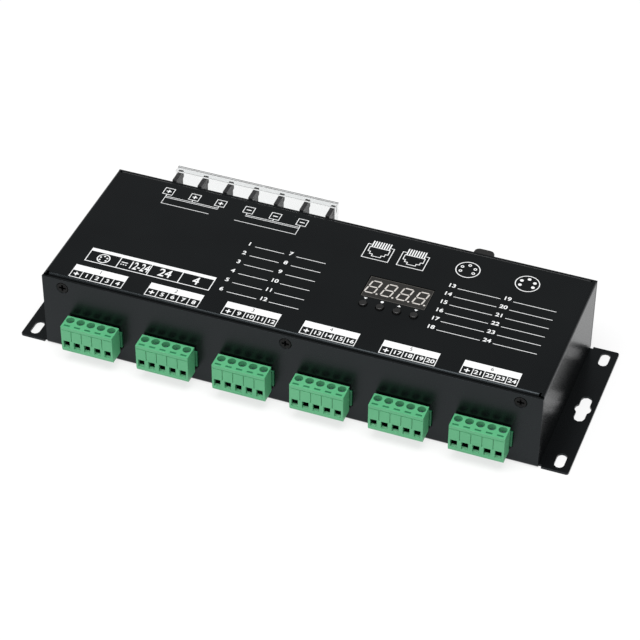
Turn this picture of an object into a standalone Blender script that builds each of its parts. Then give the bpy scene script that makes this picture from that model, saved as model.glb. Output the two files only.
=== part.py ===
"""24-channel LED dimmer in a flanged sheet-metal case: pluggable outputs, DC strip, XLR and network data.

The frame: +X along the case towards the data connectors, +Y towards the back, +Z up. The case stands on
z = 0, with x = 0 at the middle of its length. Sizes are in metres, written as millimetres times MM.
"""

import math

import bmesh
import bpy
from mathutils import Matrix

MM = 0.001

# Sheet-metal case
BODY_LENGTH = 236 * MM
BODY_DEPTH = 86 * MM
BODY_HEIGHT = 41 * MM
SHEET = 1.2 * MM
TRAY_BEND = 1.6 * MM
COVER_BEND = 1.7 * MM
WALL_DROP = 1.0 * MM
LIP_HEIGHT = 4 * MM
LUG_HEIGHT = 8.4 * MM
LUG_WIDTH = 12 * MM
CORNER_RELIEF = 1.0 * MM

# Mounting flanges at both ends
FLANGE_LENGTH = 13.7 * MM
FLANGE_INSET = 0.2 * MM
FLANGE_CORNER = 1.2 * MM
NOTCH_WIDTH = 1.3 * MM
NOTCH_DEPTH = 1.3 * MM
SLOT_WIDTH = 4.4 * MM
SLOT_LENGTH = 9.4 * MM
SLOT_FROM_BODY = 8.3 * MM
SLOT_SPACING = 71.8 * MM
KEY_WIDTH = 4.9 * MM
KEY_LENGTH = 17.5 * MM
KEY_HEAD = 7.4 * MM

# Fits
GAP = 0.3 * MM
THREAD_GAP = 0.3 * MM

# Case screws and circuit boards
CASE_SCREW_INSET = 10 * MM
CASE_SCREW_BELOW_TOP = 5.6 * MM
SCREW_HEAD = 5.3 * MM
SCREW_RIM = 0.15 * MM
SCREW_SHANK = 3.0 * MM
SCREW_LENGTH = 6.0 * MM
CROSS_LENGTH = 3.0 * MM
CROSS_WIDTH = 0.9 * MM
CROSS_DEPTH = 0.9 * MM
BOARD_THICKNESS = 1.6 * MM
BOARD_MARGIN = 4.5 * MM
STANDOFF_HEIGHT = 5.7 * MM
STANDOFF_WIDTH = 6.0 * MM
BOARD_SCREW_INSET = 30 * MM
BOARD_SCREW_SPACING = 28 * MM
PAN_HEAD = 5.4 * MM
PAN_HEIGHT = 1.9 * MM

# Pluggable output terminals
OUTPUTS = 6
WAYS = 5
WAY_PITCH = 5.08 * MM
OUTPUT_FROM_END = 12.2 * MM
OUTPUT_FROM_FAR_END = 13.3 * MM
PLUG_HEIGHT = 14.4 * MM
PLUG_REACH = 9.0 * MM
PLUG_STANDOFF = 0.9 * MM
PLUG_LIP = 1.5 * MM
PLUG_LIP_DEPTH = 0.5 * MM
PLUG_EDGE = 0.35 * MM
TONGUE_HEIGHT = 5.8 * MM
TONGUE_LENGTH = 7.4 * MM
TONGUE_INSET = 0.3 * MM
TONGUE_FROM_FOOT = 4.5 * MM
TONGUE_ROOT = 2.0 * MM
WELL_WIDTH = 3.9 * MM
WELL_DEPTH = 2.1 * MM
WELL_FROM_WALL = 3.55 * MM
CLAMP_SCREW = 3.2 * MM
CLAMP_SCREW_HEIGHT = 0.8 * MM
PRY_SLOT_FROM_WALL = 7.6 * MM
PRY_SLOT_LENGTH = 2.85 * MM
PRY_SLOT_WIDTH = 0.6 * MM
PRY_SLOT_DEPTH = 0.8 * MM
WIRE_MOUTH_WIDTH = 3.1 * MM
WIRE_MOUTH_HEIGHT = 4.15 * MM
WIRE_MOUTH_FROM_FOOT = 2.15 * MM
WIRE_HOLE_HEIGHT = 2.4 * MM
WIRE_RAMP = 1.6 * MM
WIRE_DEPTH = 6.0 * MM
PANEL_GROOVE = 0.4 * MM
PANEL_GROOVE_DEPTH = 0.3 * MM
PANEL_BELOW_TOP = 2.0 * MM
PANEL_ABOVE_MOUTH = 0.2 * MM
PIN_SIDE = 1.0 * MM
PIN_BEHIND_FACE = 1.6 * MM
PIN_SOCKET_START = 0.5 * MM
HEADER_DEPTH = 12.0 * MM
HEADER_PROUD = 0.6 * MM
HEADER_END = 1.0 * MM
HEADER_FLOOR = 1.3 * MM
HEADER_ROOF = 0.9 * MM
HEADER_BACK = 2.0 * MM

# Barrier strip for the DC input
STRIP_WAYS = 6
STRIP_PITCH = 12.9 * MM
STRIP_MIDDLE = 0.2837
STRIP_BELOW_TOP = 0.4 * MM
RIB = 2.1 * MM
RIB_HEIGHT = 25.8 * MM
RIB_REACH = 9.3 * MM
RIB_CORNER = 0.8 * MM
RIB_CATCH = 1.3 * MM
RIB_CATCH_HEIGHT = 3.6 * MM
RIB_CATCH_SLOPE = 0.5 * MM
STRIP_FLOOR = 2.7 * MM
STRIP_FLOOR_DROP = 3.7 * MM
STRIP_TAIL = 9.0 * MM
STRIP_TAIL_HEIGHT = 17.0 * MM
STRIP_TAIL_FROM_FOOT = 1.6 * MM
INPUT_SCREW_HEAD = 7.0 * MM
INPUT_SCREW_HEAD_HEIGHT = 2.2 * MM
INPUT_SCREW_SHANK = 3.5 * MM
INPUT_SCREW_LENGTH = 7.0 * MM
INPUT_SCREW_LIFT = 2.1 * MM
INPUT_SCREW_EDGE = 0.6 * MM
INPUT_CROSS_LENGTH = 4.4 * MM
INPUT_CROSS_WIDTH = 0.9 * MM
INPUT_CROSS_DEPTH = 1.1 * MM
INPUT_WASHER = 9.4 * MM
INPUT_WASHER_THICKNESS = 1.2 * MM
STRIP_COVER_WALL = 0.9 * MM
STRIP_COVER_SIDE = 0.6 * MM
STRIP_COVER_LIP = 4.0 * MM
STRIP_COVER_HEIGHT = 25.0 * MM

# Display and its buttons
DISPLAY_LENGTH = 30.0 * MM
DISPLAY_WIDTH = 14.2 * MM
DISPLAY_HEIGHT = 7.2 * MM
DISPLAY_SUNK = 0.3 * MM
DISPLAY_FROM_END = 81.3 * MM
DISPLAY_BEHIND_MIDDLE = 1.7 * MM
BUTTONS = 4
BUTTON_PITCH = 7.95 * MM
BUTTON_WIDTH = 3.6 * MM
BUTTON_PROUD = 0.9 * MM
BUTTON_TRAVEL = 0.3 * MM
BUTTON_EDGE = 0.35 * MM
BUTTON_FROM_DISPLAY = 12.9 * MM
SWITCH_SIDE = 6.0 * MM
SWITCH_HEIGHT = 3.5 * MM
SWITCH_WELL = 1.5 * MM
CONTROL_BOARD_LENGTH = 44 * MM
CONTROL_BOARD_WIDTH = 30 * MM
CONTROL_BOARD_OFFSET = 1.5 * MM
SPACER_WIDTH = 5.0 * MM
SPACER_INSET = 4.0 * MM

# Network jacks
JACKS = 2
JACK_PITCH = 17 * MM
JACK_FROM_END = 81.9 * MM
JACK_WIDTH = 15.9 * MM
JACK_HEIGHT = 13.5 * MM
JACK_DEPTH = 18 * MM
JACK_PROUD = 0.6 * MM
SOCKET_WIDTH = 11.9 * MM
SOCKET_HEIGHT = 6.8 * MM
SOCKET_DEPTH = 14 * MM
SOCKET_STEP = 1.6 * MM
CLIP_WIDTH = 6.0 * MM
CLIP_SLOT = 3.4 * MM
JACK_CONTACTS = 8
JACK_CONTACT_PITCH = 1.02 * MM
JACK_CONTACT = 0.5 * MM
JACK_CONTACT_START = 4 * MM

# Five-pin data connectors
XLR_PITCH = 28.3 * MM
XLR_FROM_END = 27.5 * MM
XLR_PLATE_WIDTH = 26 * MM
XLR_PLATE_HEIGHT = 31 * MM
XLR_PLATE_THICKNESS = 2.2 * MM
XLR_PLATE_CORNER = 3 * MM
XLR_BARREL = 23.6 * MM
XLR_BARREL_DEPTH = 18 * MM
XLR_FEMALE_BORE = 19.4 * MM
XLR_FEMALE_DEPTH = 14.5 * MM
XLR_FEMALE_INSERT = 15.6 * MM
XLR_INSERT_BELOW_FACE = 1.0 * MM
XLR_INSERT_EDGE = 0.5 * MM
XLR_MALE_BORE = 16.6 * MM
XLR_MALE_DEPTH = 15.0 * MM
XLR_MALE_INSERT_THICKNESS = 2.7 * MM
XLR_PIN = 2.0 * MM
XLR_PIN_LENGTH = 9.5 * MM
XLR_PIN_CIRCLE = 9.6 * MM
XLR_PINS = 5
XLR_PIN_SPREAD = 57
XLR_SCREW_X = 19.0 * MM
XLR_SCREW_Z = 24.0 * MM
LATCH_WIDTH = 9.8 * MM
LATCH_HEIGHT = 3.9 * MM
LATCH_ABOVE_AXIS = 10.2 * MM
LATCH_PROUD = 10.3 * MM
LATCH_TAIL = 3.0 * MM
LATCH_CORNER = 2.6 * MM
LATCH_HOOK = 1.5 * MM
LATCH_HOOK_WIDTH = 5.0 * MM
LATCH_TRAVEL = 1.5 * MM
LATCH_EDGE = 0.5 * MM

# Parts on the main board
CAPACITOR_WIDTH = 16 * MM
CAPACITOR_HEIGHT = 26 * MM
CAPACITOR_PITCH = 20 * MM
CAPACITOR_NECK = 0.6 * MM
CAPACITOR_FROM_STRIP = 2 * MM
TRANSISTOR = 6.4 * MM
TRANSISTOR_HEIGHT = 2.3 * MM
TRANSISTOR_PITCH = 7.7 * MM
TRANSISTOR_BEHIND_HEADER = 2.5 * MM
CHIP = 12 * MM
CHIP_HEIGHT = 1.4 * MM
BOARD_CLEARANCE = 1.5 * MM

# Places worked out from the sizes above
END = BODY_LENGTH / 2
FRONT = -BODY_DEPTH / 2
BACK = BODY_DEPTH / 2
WALL_TOP = BODY_HEIGHT - WALL_DROP
COVER_EDGE = BODY_DEPTH / 2 - SHEET - GAP
BOARD_BOTTOM = SHEET + STANDOFF_HEIGHT + GAP
BOARD_TOP = BOARD_BOTTOM + BOARD_THICKNESS
PLUG_WIDTH = WAYS * WAY_PITCH
OUTPUT_PITCH = (BODY_LENGTH - OUTPUT_FROM_END - OUTPUT_FROM_FAR_END - PLUG_WIDTH) / (OUTPUTS - 1)
TONGUE_WIDTH = PLUG_WIDTH - 2 * TONGUE_INSET
HEADER_WIDTH = TONGUE_WIDTH + 2 * GAP + 2 * HEADER_END
HEADER_HEIGHT = HEADER_FLOOR + 2 * GAP + TONGUE_HEIGHT + HEADER_ROOF
HEADER_BOTTOM = BOARD_TOP + GAP
TONGUE_BOTTOM = HEADER_BOTTOM + HEADER_FLOOR + GAP
PIN_LEVEL = TONGUE_BOTTOM + TONGUE_HEIGHT / 2
PLUG_BOTTOM = TONGUE_BOTTOM - TONGUE_FROM_FOOT
CASE_SCREW_LEVEL = BODY_HEIGHT - CASE_SCREW_BELOW_TOP
STRIP_WIDTH = STRIP_WAYS * STRIP_PITCH + RIB
STRIP_X = -END + STRIP_MIDDLE * BODY_LENGTH
RIB_TOP = BODY_HEIGHT - STRIP_BELOW_TOP
RIB_BOTTOM = RIB_TOP - RIB_HEIGHT
STRIP_TAIL_BOTTOM = RIB_BOTTOM + STRIP_TAIL_FROM_FOOT
INPUT_SCREW_LEVEL = STRIP_TAIL_BOTTOM + STRIP_TAIL_HEIGHT / 2
STRIP_FACE = BACK + GAP + STRIP_FLOOR
STRIP_COVER_WIDTH = STRIP_WIDTH + 2 * GAP + 2 * STRIP_COVER_SIDE
STRIP_COVER_TOP = RIB_TOP + GAP + STRIP_COVER_WALL
STRIP_COVER_BACK = BACK + RIB_REACH + GAP + STRIP_COVER_WALL
DISPLAY_X = END - DISPLAY_FROM_END
DISPLAY_Y = DISPLAY_BEHIND_MIDDLE
DISPLAY_TOP = BODY_HEIGHT - DISPLAY_SUNK
CONTROL_BOARD_TOP = DISPLAY_TOP - DISPLAY_HEIGHT - GAP
CONTROL_BOARD_BOTTOM = CONTROL_BOARD_TOP - BOARD_THICKNESS
BUTTON_Y = DISPLAY_Y - BUTTON_FROM_DISPLAY
CONTROL_BOARD_Y = (DISPLAY_Y + BUTTON_Y) / 2 + CONTROL_BOARD_OFFSET
SWITCH_TOP = CONTROL_BOARD_TOP + GAP + SWITCH_HEIGHT
BUTTON_BOTTOM = SWITCH_TOP - SWITCH_WELL + BUTTON_TRAVEL + GAP
BUTTON_TOP = BODY_HEIGHT + BUTTON_PROUD
XLR_HEIGHT = BODY_HEIGHT / 2
XLR_IN_X = END - XLR_FROM_END
XLR_OUT_X = XLR_IN_X - XLR_PITCH
XLR_FACE = BACK + GAP + XLR_PLATE_THICKNESS
LATCH_BACK = BACK + LATCH_PROUD
PLUG_FRONT = FRONT - PLUG_REACH
BACK_REACH = max(LATCH_BACK, STRIP_COVER_BACK)
Y_SHIFT = -(PLUG_FRONT + BACK_REACH) / 2

# Blender fills a flat outline cleanly at this scale, and merges its points at the real one.
DRAW_SCALE = 1000

# Decimals of a metre that points are rounded to, so that faces meant to be level are exactly level.
SNAP = 7

# Outline axes u, v and the extruded axis w, laid on the world's axes.
LIE_FLAT = Matrix()
ALONG_X = Matrix(((0, 0, 1, 0), (1, 0, 0, 0), (0, 1, 0, 0), (0, 0, 0, 1)))
ALONG_Y = Matrix(((1, 0, 0, 0), (0, 0, -1, 0), (0, 1, 0, 0), (0, 0, 0, 1)))

TURN = {
    "X": Matrix.Rotation(math.pi / 2, 4, "Y"),
    "Y": Matrix.Rotation(-math.pi / 2, 4, "X"),
    "Z": Matrix(),
}


def clear_scene():
    for obj in list(bpy.data.objects):
        bpy.data.objects.remove(obj)


def new_collection(name):
    collection = bpy.data.collections.new(name)
    bpy.context.scene.collection.children.link(collection)
    return collection


def new_material(name, colour, roughness, metallic=0.0, alpha=1.0):
    material = bpy.data.materials.new(name)
    material.use_nodes = True
    shader = material.node_tree.nodes["Principled BSDF"]
    shader.inputs["Base Color"].default_value = (*colour, 1.0)
    shader.inputs["Roughness"].default_value = roughness
    shader.inputs["Metallic"].default_value = metallic
    shader.inputs["Alpha"].default_value = alpha
    return material


def snap(bm):
    for vert in bm.verts:
        vert.co = [round(value, SNAP) for value in vert.co]


class Shapes:
    """Primitives gathered into one mesh, each placed by its limits along the axes."""

    def __init__(self):
        self.bm = bmesh.new()

    def box(self, low, high):
        size = [b - a for a, b in zip(low, high)]
        middle = [(a + b) / 2 for a, b in zip(low, high)]
        place = Matrix.Translation(middle) @ Matrix.Diagonal((*size, 1))
        bmesh.ops.create_cube(self.bm, size=1, matrix=place)
        return self

    def rod(self, radius, start, end, at, axis="Z", end_radius=None, sides=16, turned_by=0.0):
        """A cylinder or cone along an axis, with `at` its place on the other two, in X, Y, Z order."""
        middle = (start + end) / 2
        order = {"X": (middle, *at), "Y": (at[0], middle, at[1]), "Z": (*at, middle)}
        spin = Matrix.Rotation(turned_by, 4, "Z")
        bmesh.ops.create_cone(
            self.bm,
            cap_ends=True,
            segments=sides,
            radius1=radius,
            radius2=radius if end_radius is None else end_radius,
            depth=end - start,
            matrix=Matrix.Translation(order[axis]) @ TURN[axis] @ spin,
        )
        return self

    def copy(self, mesh, place):
        """A copy of a finished mesh, moved to its place."""
        before = len(self.bm.verts)
        self.bm.from_mesh(mesh)
        self.bm.verts.ensure_lookup_table()
        bmesh.ops.translate(self.bm, verts=self.bm.verts[before:], vec=place)
        return self

    def mesh(self, name):
        mesh = bpy.data.meshes.new(name)
        snap(self.bm)
        self.bm.to_mesh(mesh)
        self.bm.free()
        return mesh


def arc(centre, radius, start, end, steps=6):
    """Points on an arc, with its angles in degrees."""
    angles = [math.radians(start + (end - start) * i / steps) for i in range(steps + 1)]
    return [(centre[0] + radius * math.cos(a), centre[1] + radius * math.sin(a)) for a in angles]


def rounded_rectangle(width, height, radius, centre=(0, 0), steps=4):
    x, y = width / 2 - radius, height / 2 - radius
    corners = ((x, y, 0), (-x, y, 90), (-x, -y, 180), (x, -y, 270))
    return [
        point
        for cx, cy, start in corners
        for point in arc((centre[0] + cx, centre[1] + cy), radius, start, start + 90, steps)
    ]


def tidy(mesh):
    """Welds loose seams, makes each flat side one face, and turns every face outwards, shaded flat."""
    bm = bmesh.new()
    bm.from_mesh(mesh)
    bmesh.ops.remove_doubles(bm, verts=bm.verts, dist=1e-7)
    bmesh.ops.dissolve_limit(bm, angle_limit=math.radians(0.1), verts=bm.verts, edges=bm.edges)
    bmesh.ops.recalc_face_normals(bm, faces=bm.faces)
    snap(bm)
    bm.to_mesh(mesh)
    bm.free()
    mesh.shade_flat()
    return mesh


def evaluated_mesh(obj):
    bpy.context.view_layer.update()
    graph = bpy.context.evaluated_depsgraph_get()
    return bpy.data.meshes.new_from_object(obj.evaluated_get(graph))


def extruded(outlines, thickness, lay=LIE_FLAT, move=(0, 0, 0)):
    """A flat outline, followed by its holes, as a solid centred on its own plane."""
    curve = bpy.data.curves.new("outline", "CURVE")
    curve.dimensions = "2D"
    curve.fill_mode = "BOTH"
    curve.extrude = thickness / 2 * DRAW_SCALE
    for outline in outlines:
        spline = curve.splines.new("POLY")
        spline.points.add(len(outline) - 1)
        for point, (u, v) in zip(spline.points, outline):
            point.co = (u * DRAW_SCALE, v * DRAW_SCALE, 0, 1)
        spline.use_cyclic_u = True
    drawing = bpy.data.objects.new("outline", curve)
    bpy.context.scene.collection.objects.link(drawing)
    mesh = evaluated_mesh(drawing)
    bpy.data.objects.remove(drawing)
    mesh.transform(Matrix.Translation(move) @ lay @ Matrix.Scale(1 / DRAW_SCALE, 4))
    return tidy(mesh)


def turned(profile, sides=24, axis="Z"):
    """A lathe-turned solid from (radius, height) points that run from the top down to the foot."""
    mesh = bpy.data.meshes.new("profile")
    edges = [(i, i + 1) for i in range(len(profile) - 1)]
    mesh.from_pydata([(radius, 0, height) for radius, height in profile], edges, [])
    blank = bpy.data.objects.new("profile", mesh)
    bpy.context.scene.collection.objects.link(blank)
    lathe = blank.modifiers.new("lathe", "SCREW")
    lathe.angle = math.tau
    lathe.steps = sides
    lathe.render_steps = sides
    lathe.use_merge_vertices = True
    lathe.merge_threshold = 1e-6
    solid = evaluated_mesh(blank)
    bpy.data.objects.remove(blank)
    solid.transform(TURN[axis])
    return tidy(solid)


class Builder:
    """Places parts and the helper solids that cut or join them."""

    def __init__(self):
        self.parts = new_collection("dmx_dimmer")
        self.helpers = new_collection("helpers")
        self.frame = bpy.data.objects.new("dimmer_frame", None)
        self.frame.location = (0, Y_SHIFT, 0)
        self.parts.objects.link(self.frame)

    def part(self, name, mesh, material, location=(0, 0, 0)):
        obj = bpy.data.objects.new(name, mesh)
        obj.location = location
        obj.parent = self.frame
        self.parts.objects.link(obj)
        mesh.materials.clear()
        mesh.materials.append(material)
        return obj

    def shape(self, obj, mesh, operation):
        helper = bpy.data.objects.new(f"{obj.name}_{operation.lower()}_{len(obj.modifiers)}", mesh)
        helper.location = obj.location
        helper.parent = self.frame
        helper.hide_render = True
        helper.display_type = "WIRE"
        self.helpers.objects.link(helper)
        modifier = obj.modifiers.new(operation.lower(), "BOOLEAN")
        modifier.operation = operation
        modifier.solver = "EXACT"
        modifier.object = helper
        return obj

    def cut(self, obj, mesh):
        return self.shape(obj, mesh, "DIFFERENCE")

    def join(self, obj, mesh):
        return self.shape(obj, mesh, "UNION")

    def finished(self, obj):
        """The mesh of a part with its cuts and joins made, for the copies of a repeated piece."""
        mesh = evaluated_mesh(obj)
        for modifier in obj.modifiers:
            if modifier.type == "BOOLEAN":
                bpy.data.objects.remove(modifier.object)
        bpy.data.objects.remove(obj)
        return mesh


def smooth(*objects, angle=35):
    """Round pieces shade smooth, with the edges past the angle kept sharp."""
    for obj in objects:
        obj.data.shade_smooth()
        obj.data.set_sharp_from_angle(angle=math.radians(angle))


def output_x(index):
    return -END + OUTPUT_FROM_END + PLUG_WIDTH / 2 + index * OUTPUT_PITCH


def way_x(index, ways=WAYS, pitch=WAY_PITCH):
    return (index - (ways - 1) / 2) * pitch


def case_screw_places():
    reach = END - CASE_SCREW_INSET
    return (-reach, 0, reach)


def board_screw_places():
    x = END - BOARD_SCREW_INSET
    y = BOARD_SCREW_SPACING / 2
    return ((-x, -y), (x, -y), (-x, y), (x, y))


def jack_places():
    return [END - JACK_FROM_END - (JACKS - 1 - i) * JACK_PITCH for i in range(JACKS)]


def xlr_screw_offsets():
    return ((-XLR_SCREW_X / 2, XLR_SCREW_Z / 2), (XLR_SCREW_X / 2, -XLR_SCREW_Z / 2))


def channel_outline(half_width, height, bend, thickness):
    """Section of a bent sheet: a flat floor with a wall at each side, open at the top."""
    outer = arc((-half_width + bend, bend), bend, 180, 270) + arc((half_width - bend, bend), bend, 270, 360)
    inner = arc((half_width - bend, bend), bend - thickness, 360, 270) + arc(
        (-half_width + bend, bend), bend - thickness, 270, 180
    )
    return [
        (-half_width, height),
        *outer,
        (half_width, height),
        (half_width - thickness, height),
        *inner,
        (-half_width + thickness, height),
    ]


def slot_outline(centre, width, length, steps=5):
    """A slot along Y with round ends."""
    x, y = centre
    reach = (length - width) / 2
    return arc((x, y + reach), width / 2, 0, 180, steps) + arc((x, y - reach), width / 2, 180, 360, steps)


def keyhole_outline(centre, width, length, head, steps=4):
    """A slot along Y with a wider round passage at its middle."""
    x, y = centre
    reach = (length - width) / 2
    lean = math.degrees(math.acos(width / head))
    return (
        arc((x, y), head / 2, -lean, lean, steps)
        + arc((x, y + reach), width / 2, 0, 180, steps)
        + arc((x, y), head / 2, 180 - lean, 180 + lean, steps)
        + arc((x, y - reach), width / 2, 180, 360, steps)
    )


def flange_outlines(side):
    """One flange with the neck that overlaps the tray's floor, then its two slots and its keyhole."""
    overlap = 2 * MM
    start = END - overlap
    root = END + NOTCH_WIDTH
    tip = END + FLANGE_LENGTH
    half = BODY_DEPTH / 2 - FLANGE_INSET
    neck = BODY_DEPTH / 2 - FLANGE_INSET - NOTCH_DEPTH
    corner = FLANGE_CORNER
    edge = [
        (start, -neck),
        (root, -neck),
        (root, -half),
        *arc((tip - corner, -half + corner), corner, 270, 360, 4),
        *arc((tip - corner, half - corner), corner, 0, 90, 4),
        (root, half),
        (root, neck),
        (start, neck),
    ]
    hole_x = END + SLOT_FROM_BODY
    holes = [
        slot_outline((hole_x, -SLOT_SPACING / 2), SLOT_WIDTH, SLOT_LENGTH),
        slot_outline((hole_x, SLOT_SPACING / 2), SLOT_WIDTH, SLOT_LENGTH),
        keyhole_outline((hole_x, 0), KEY_WIDTH, KEY_LENGTH, KEY_HEAD),
    ]
    return [[(side * x, y) for x, y in outline] for outline in [edge, *holes]]


def front_wall_openings():
    """A window for each output header."""
    tools = Shapes()
    for index in range(OUTPUTS):
        half = HEADER_WIDTH / 2 + GAP
        x = output_x(index)
        low = (x - half, FRONT - SHEET, HEADER_BOTTOM - GAP)
        high = (x + half, FRONT + 2 * SHEET, HEADER_BOTTOM + HEADER_HEIGHT + GAP)
        tools.box(low, high)
    return tools.mesh("front_wall_openings")


def countersink(depth):
    """The space of a flat-headed screw along Z, from over its face at z = 0 down to a depth."""
    over = 0.5 * MM
    wide = SCREW_HEAD / 2 + SCREW_RIM + GAP
    narrow = SCREW_SHANK / 2 + GAP
    profile = [
        (0, over),
        (wide + over, over),
        (narrow, narrow - wide),
        (narrow, -depth),
        (0, -depth),
    ]
    return turned(profile, 12)


def facing(mesh, towards):
    """A mesh made along Z, tipped so that its +Z looks along -Y (towards = -1) or +Y (towards = +1)."""
    mesh.transform(Matrix.Rotation(-towards * math.pi / 2, 4, "X"))
    return tidy(mesh)


def case_countersinks(wall, outwards):
    tools = Shapes()
    hole = facing(countersink(3 * SHEET), outwards)
    for x in case_screw_places():
        tools.copy(hole, (x, wall, CASE_SCREW_LEVEL))
    return tools.mesh("countersinks")


def back_wall_openings():
    """Windows for the barrier strip's tail and the jacks, and round holes for the data connectors."""
    low_y, high_y = BACK - 2 * SHEET, BACK + SHEET
    tail = STRIP_WIDTH / 2 + GAP
    jacks = jack_places()
    tools = Shapes()
    tools.box(
        (STRIP_X - tail, low_y, STRIP_TAIL_BOTTOM - GAP),
        (STRIP_X + tail, high_y, STRIP_TAIL_BOTTOM + STRIP_TAIL_HEIGHT + GAP),
    )
    tools.box(
        (jacks[0] - JACK_WIDTH / 2 - GAP, low_y, BOARD_TOP),
        (jacks[-1] + JACK_WIDTH / 2 + GAP, high_y, BOARD_TOP + JACK_HEIGHT + 2 * GAP),
    )
    for x in (XLR_OUT_X, XLR_IN_X):
        tools.rod(XLR_BARREL / 2 + GAP, low_y, high_y, (x, XLR_HEIGHT), "Y", sides=20)
        for dx, dz in xlr_screw_offsets():
            place = (x + dx, XLR_HEIGHT + dz)
            tools.rod(SCREW_SHANK / 2 + GAP, low_y, high_y, place, "Y", sides=12)
    return tools.mesh("back_wall_openings")


def latch_window():
    half = LATCH_WIDTH / 2 + GAP
    low = (XLR_OUT_X - half, BACK - 2 * SHEET, XLR_HEIGHT)
    high = (XLR_OUT_X + half, BACK + SHEET, XLR_HEIGHT + LATCH_ABOVE_AXIS + LATCH_HEIGHT + GAP)
    return Shapes().box(low, high).mesh("latch_window")


def standoffs():
    """Clinched hexagonal standoffs that carry the main board."""
    tools = Shapes()
    radius = STANDOFF_WIDTH / 2 / math.cos(math.pi / 6)
    for place in board_screw_places():
        tools.rod(radius, SHEET / 2, SHEET + STANDOFF_HEIGHT, place, sides=6)
    return tools.mesh("standoffs")


def standoff_bores():
    tools = Shapes()
    for place in board_screw_places():
        tools.rod(SCREW_SHANK / 2 + THREAD_GAP, -SHEET, 2 * BOARD_TOP, place, sides=12)
    return tools.mesh("standoff_bores")


def chassis_tray(build):
    """Floor, front and back walls and both flanges, bent from one sheet."""
    black = new_material("tray_powder_coat", (0.022, 0.024, 0.025), 0.42, 0.1)
    section = channel_outline(BODY_DEPTH / 2, WALL_TOP, TRAY_BEND, SHEET)
    tray = build.part("chassis_tray", extruded([section], BODY_LENGTH, ALONG_X), black)
    for side in (-1, 1):
        build.join(tray, extruded(flange_outlines(side), SHEET, move=(0, 0, SHEET / 2)))
    build.join(tray, standoffs())
    build.cut(tray, front_wall_openings())
    build.cut(tray, back_wall_openings())
    build.cut(tray, latch_window())
    for wall, outwards in ((FRONT, -1), (BACK, 1)):
        build.cut(tray, case_countersinks(wall, outwards))
    build.cut(tray, standoff_bores())
    return tray


def cover_openings():
    """The display's window and a round hole for each button."""
    tools = Shapes()
    half_x = DISPLAY_LENGTH / 2 + GAP
    half_y = DISPLAY_WIDTH / 2 + GAP
    low_z, high_z = BODY_HEIGHT - 2 * SHEET, BODY_HEIGHT + SHEET
    low = (DISPLAY_X - half_x, DISPLAY_Y - half_y, low_z)
    tools.box(low, (DISPLAY_X + half_x, DISPLAY_Y + half_y, high_z))
    for index in range(BUTTONS):
        x = DISPLAY_X + way_x(index, BUTTONS, BUTTON_PITCH)
        tools.rod(BUTTON_WIDTH / 2 + GAP, low_z, high_z, (x, BUTTON_Y), sides=16)
    return tools.mesh("cover_openings")


def cover_lug_holes():
    tools = Shapes()
    for x in case_screw_places():
        for side in (-1, 1):
            start = side * (COVER_EDGE - SHEET / 2) - SHEET
            place = (x, CASE_SCREW_LEVEL)
            tools.rod(SCREW_SHANK / 2 + THREAD_GAP, start, start + 2 * SHEET, place, "Y", sides=12)
    return tools.mesh("cover_lug_holes")


def lip_gaps():
    """What is cut from the full-height lips to leave a short lip between the screw lugs."""
    tools = Shapes()
    over = 1 * MM
    edges = [-END - over]
    for x in case_screw_places():
        edges += [x - LUG_WIDTH / 2, x + LUG_WIDTH / 2]
    edges.append(END + over)
    for start, end in zip(edges[::2], edges[1::2]):
        for side in (-1, 1):
            low, high = sorted((side * (COVER_EDGE - 2 * SHEET), side * (COVER_EDGE + SHEET)))
            bottom = BODY_HEIGHT - LUG_HEIGHT - over
            tools.box((start, low, bottom), (end, high, BODY_HEIGHT - LIP_HEIGHT))
    return tools.mesh("lip_gaps")


def top_cover(build):
    """Top and both end walls in one bent sheet, with lips inside the tray's walls for the case screws."""
    black = new_material("cover_powder_coat", (0.024, 0.026, 0.028), 0.42, 0.1)
    foot = SHEET + GAP
    bend_edge = COVER_EDGE - COVER_BEND
    ends = channel_outline(END, BODY_HEIGHT - foot, COVER_BEND, SHEET)
    ends = [(x, BODY_HEIGHT - z) for x, z in reversed(ends)]
    cover = build.part("top_cover", extruded([ends], 2 * COVER_EDGE, ALONG_Y), black)
    middle = END - COVER_BEND
    trims = Shapes()
    for side in (-1, 1):
        low, high = sorted((side * bend_edge, side * (COVER_EDGE + SHEET)))
        trims.box((-middle, low, -SHEET), (middle, high, BODY_HEIGHT + SHEET))
    build.cut(cover, trims.mesh("cover_trims"))
    lips = channel_outline(COVER_EDGE, LUG_HEIGHT, COVER_BEND, SHEET)
    lips = [(y, BODY_HEIGHT - z) for y, z in reversed(lips)]
    strip = 2 * (middle - CORNER_RELIEF)
    folded = build.part("cover_lips", extruded([lips], strip, ALONG_X), black)
    build.cut(folded, lip_gaps())
    build.join(cover, build.finished(folded))
    build.cut(cover, cover_openings())
    build.cut(cover, cover_lug_holes())
    return cover


def crossed_slots(width, thickness, depth, axis, top):
    """Helper meshes for a cross recess that opens at `top` along the axis, one for each slot."""
    over = 0.5 * MM
    meshes = []
    for across, along in ((width / 2, thickness / 2), (thickness / 2, width / 2)):
        tools = Shapes()
        if axis == "Y":
            tools.box((-across, top - depth, -along), (across, top + over, along))
        else:
            tools.box((-across, -along, top - depth), (across, along, top + over))
        meshes.append(tools.mesh("cross_recess"))
    return meshes


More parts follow.
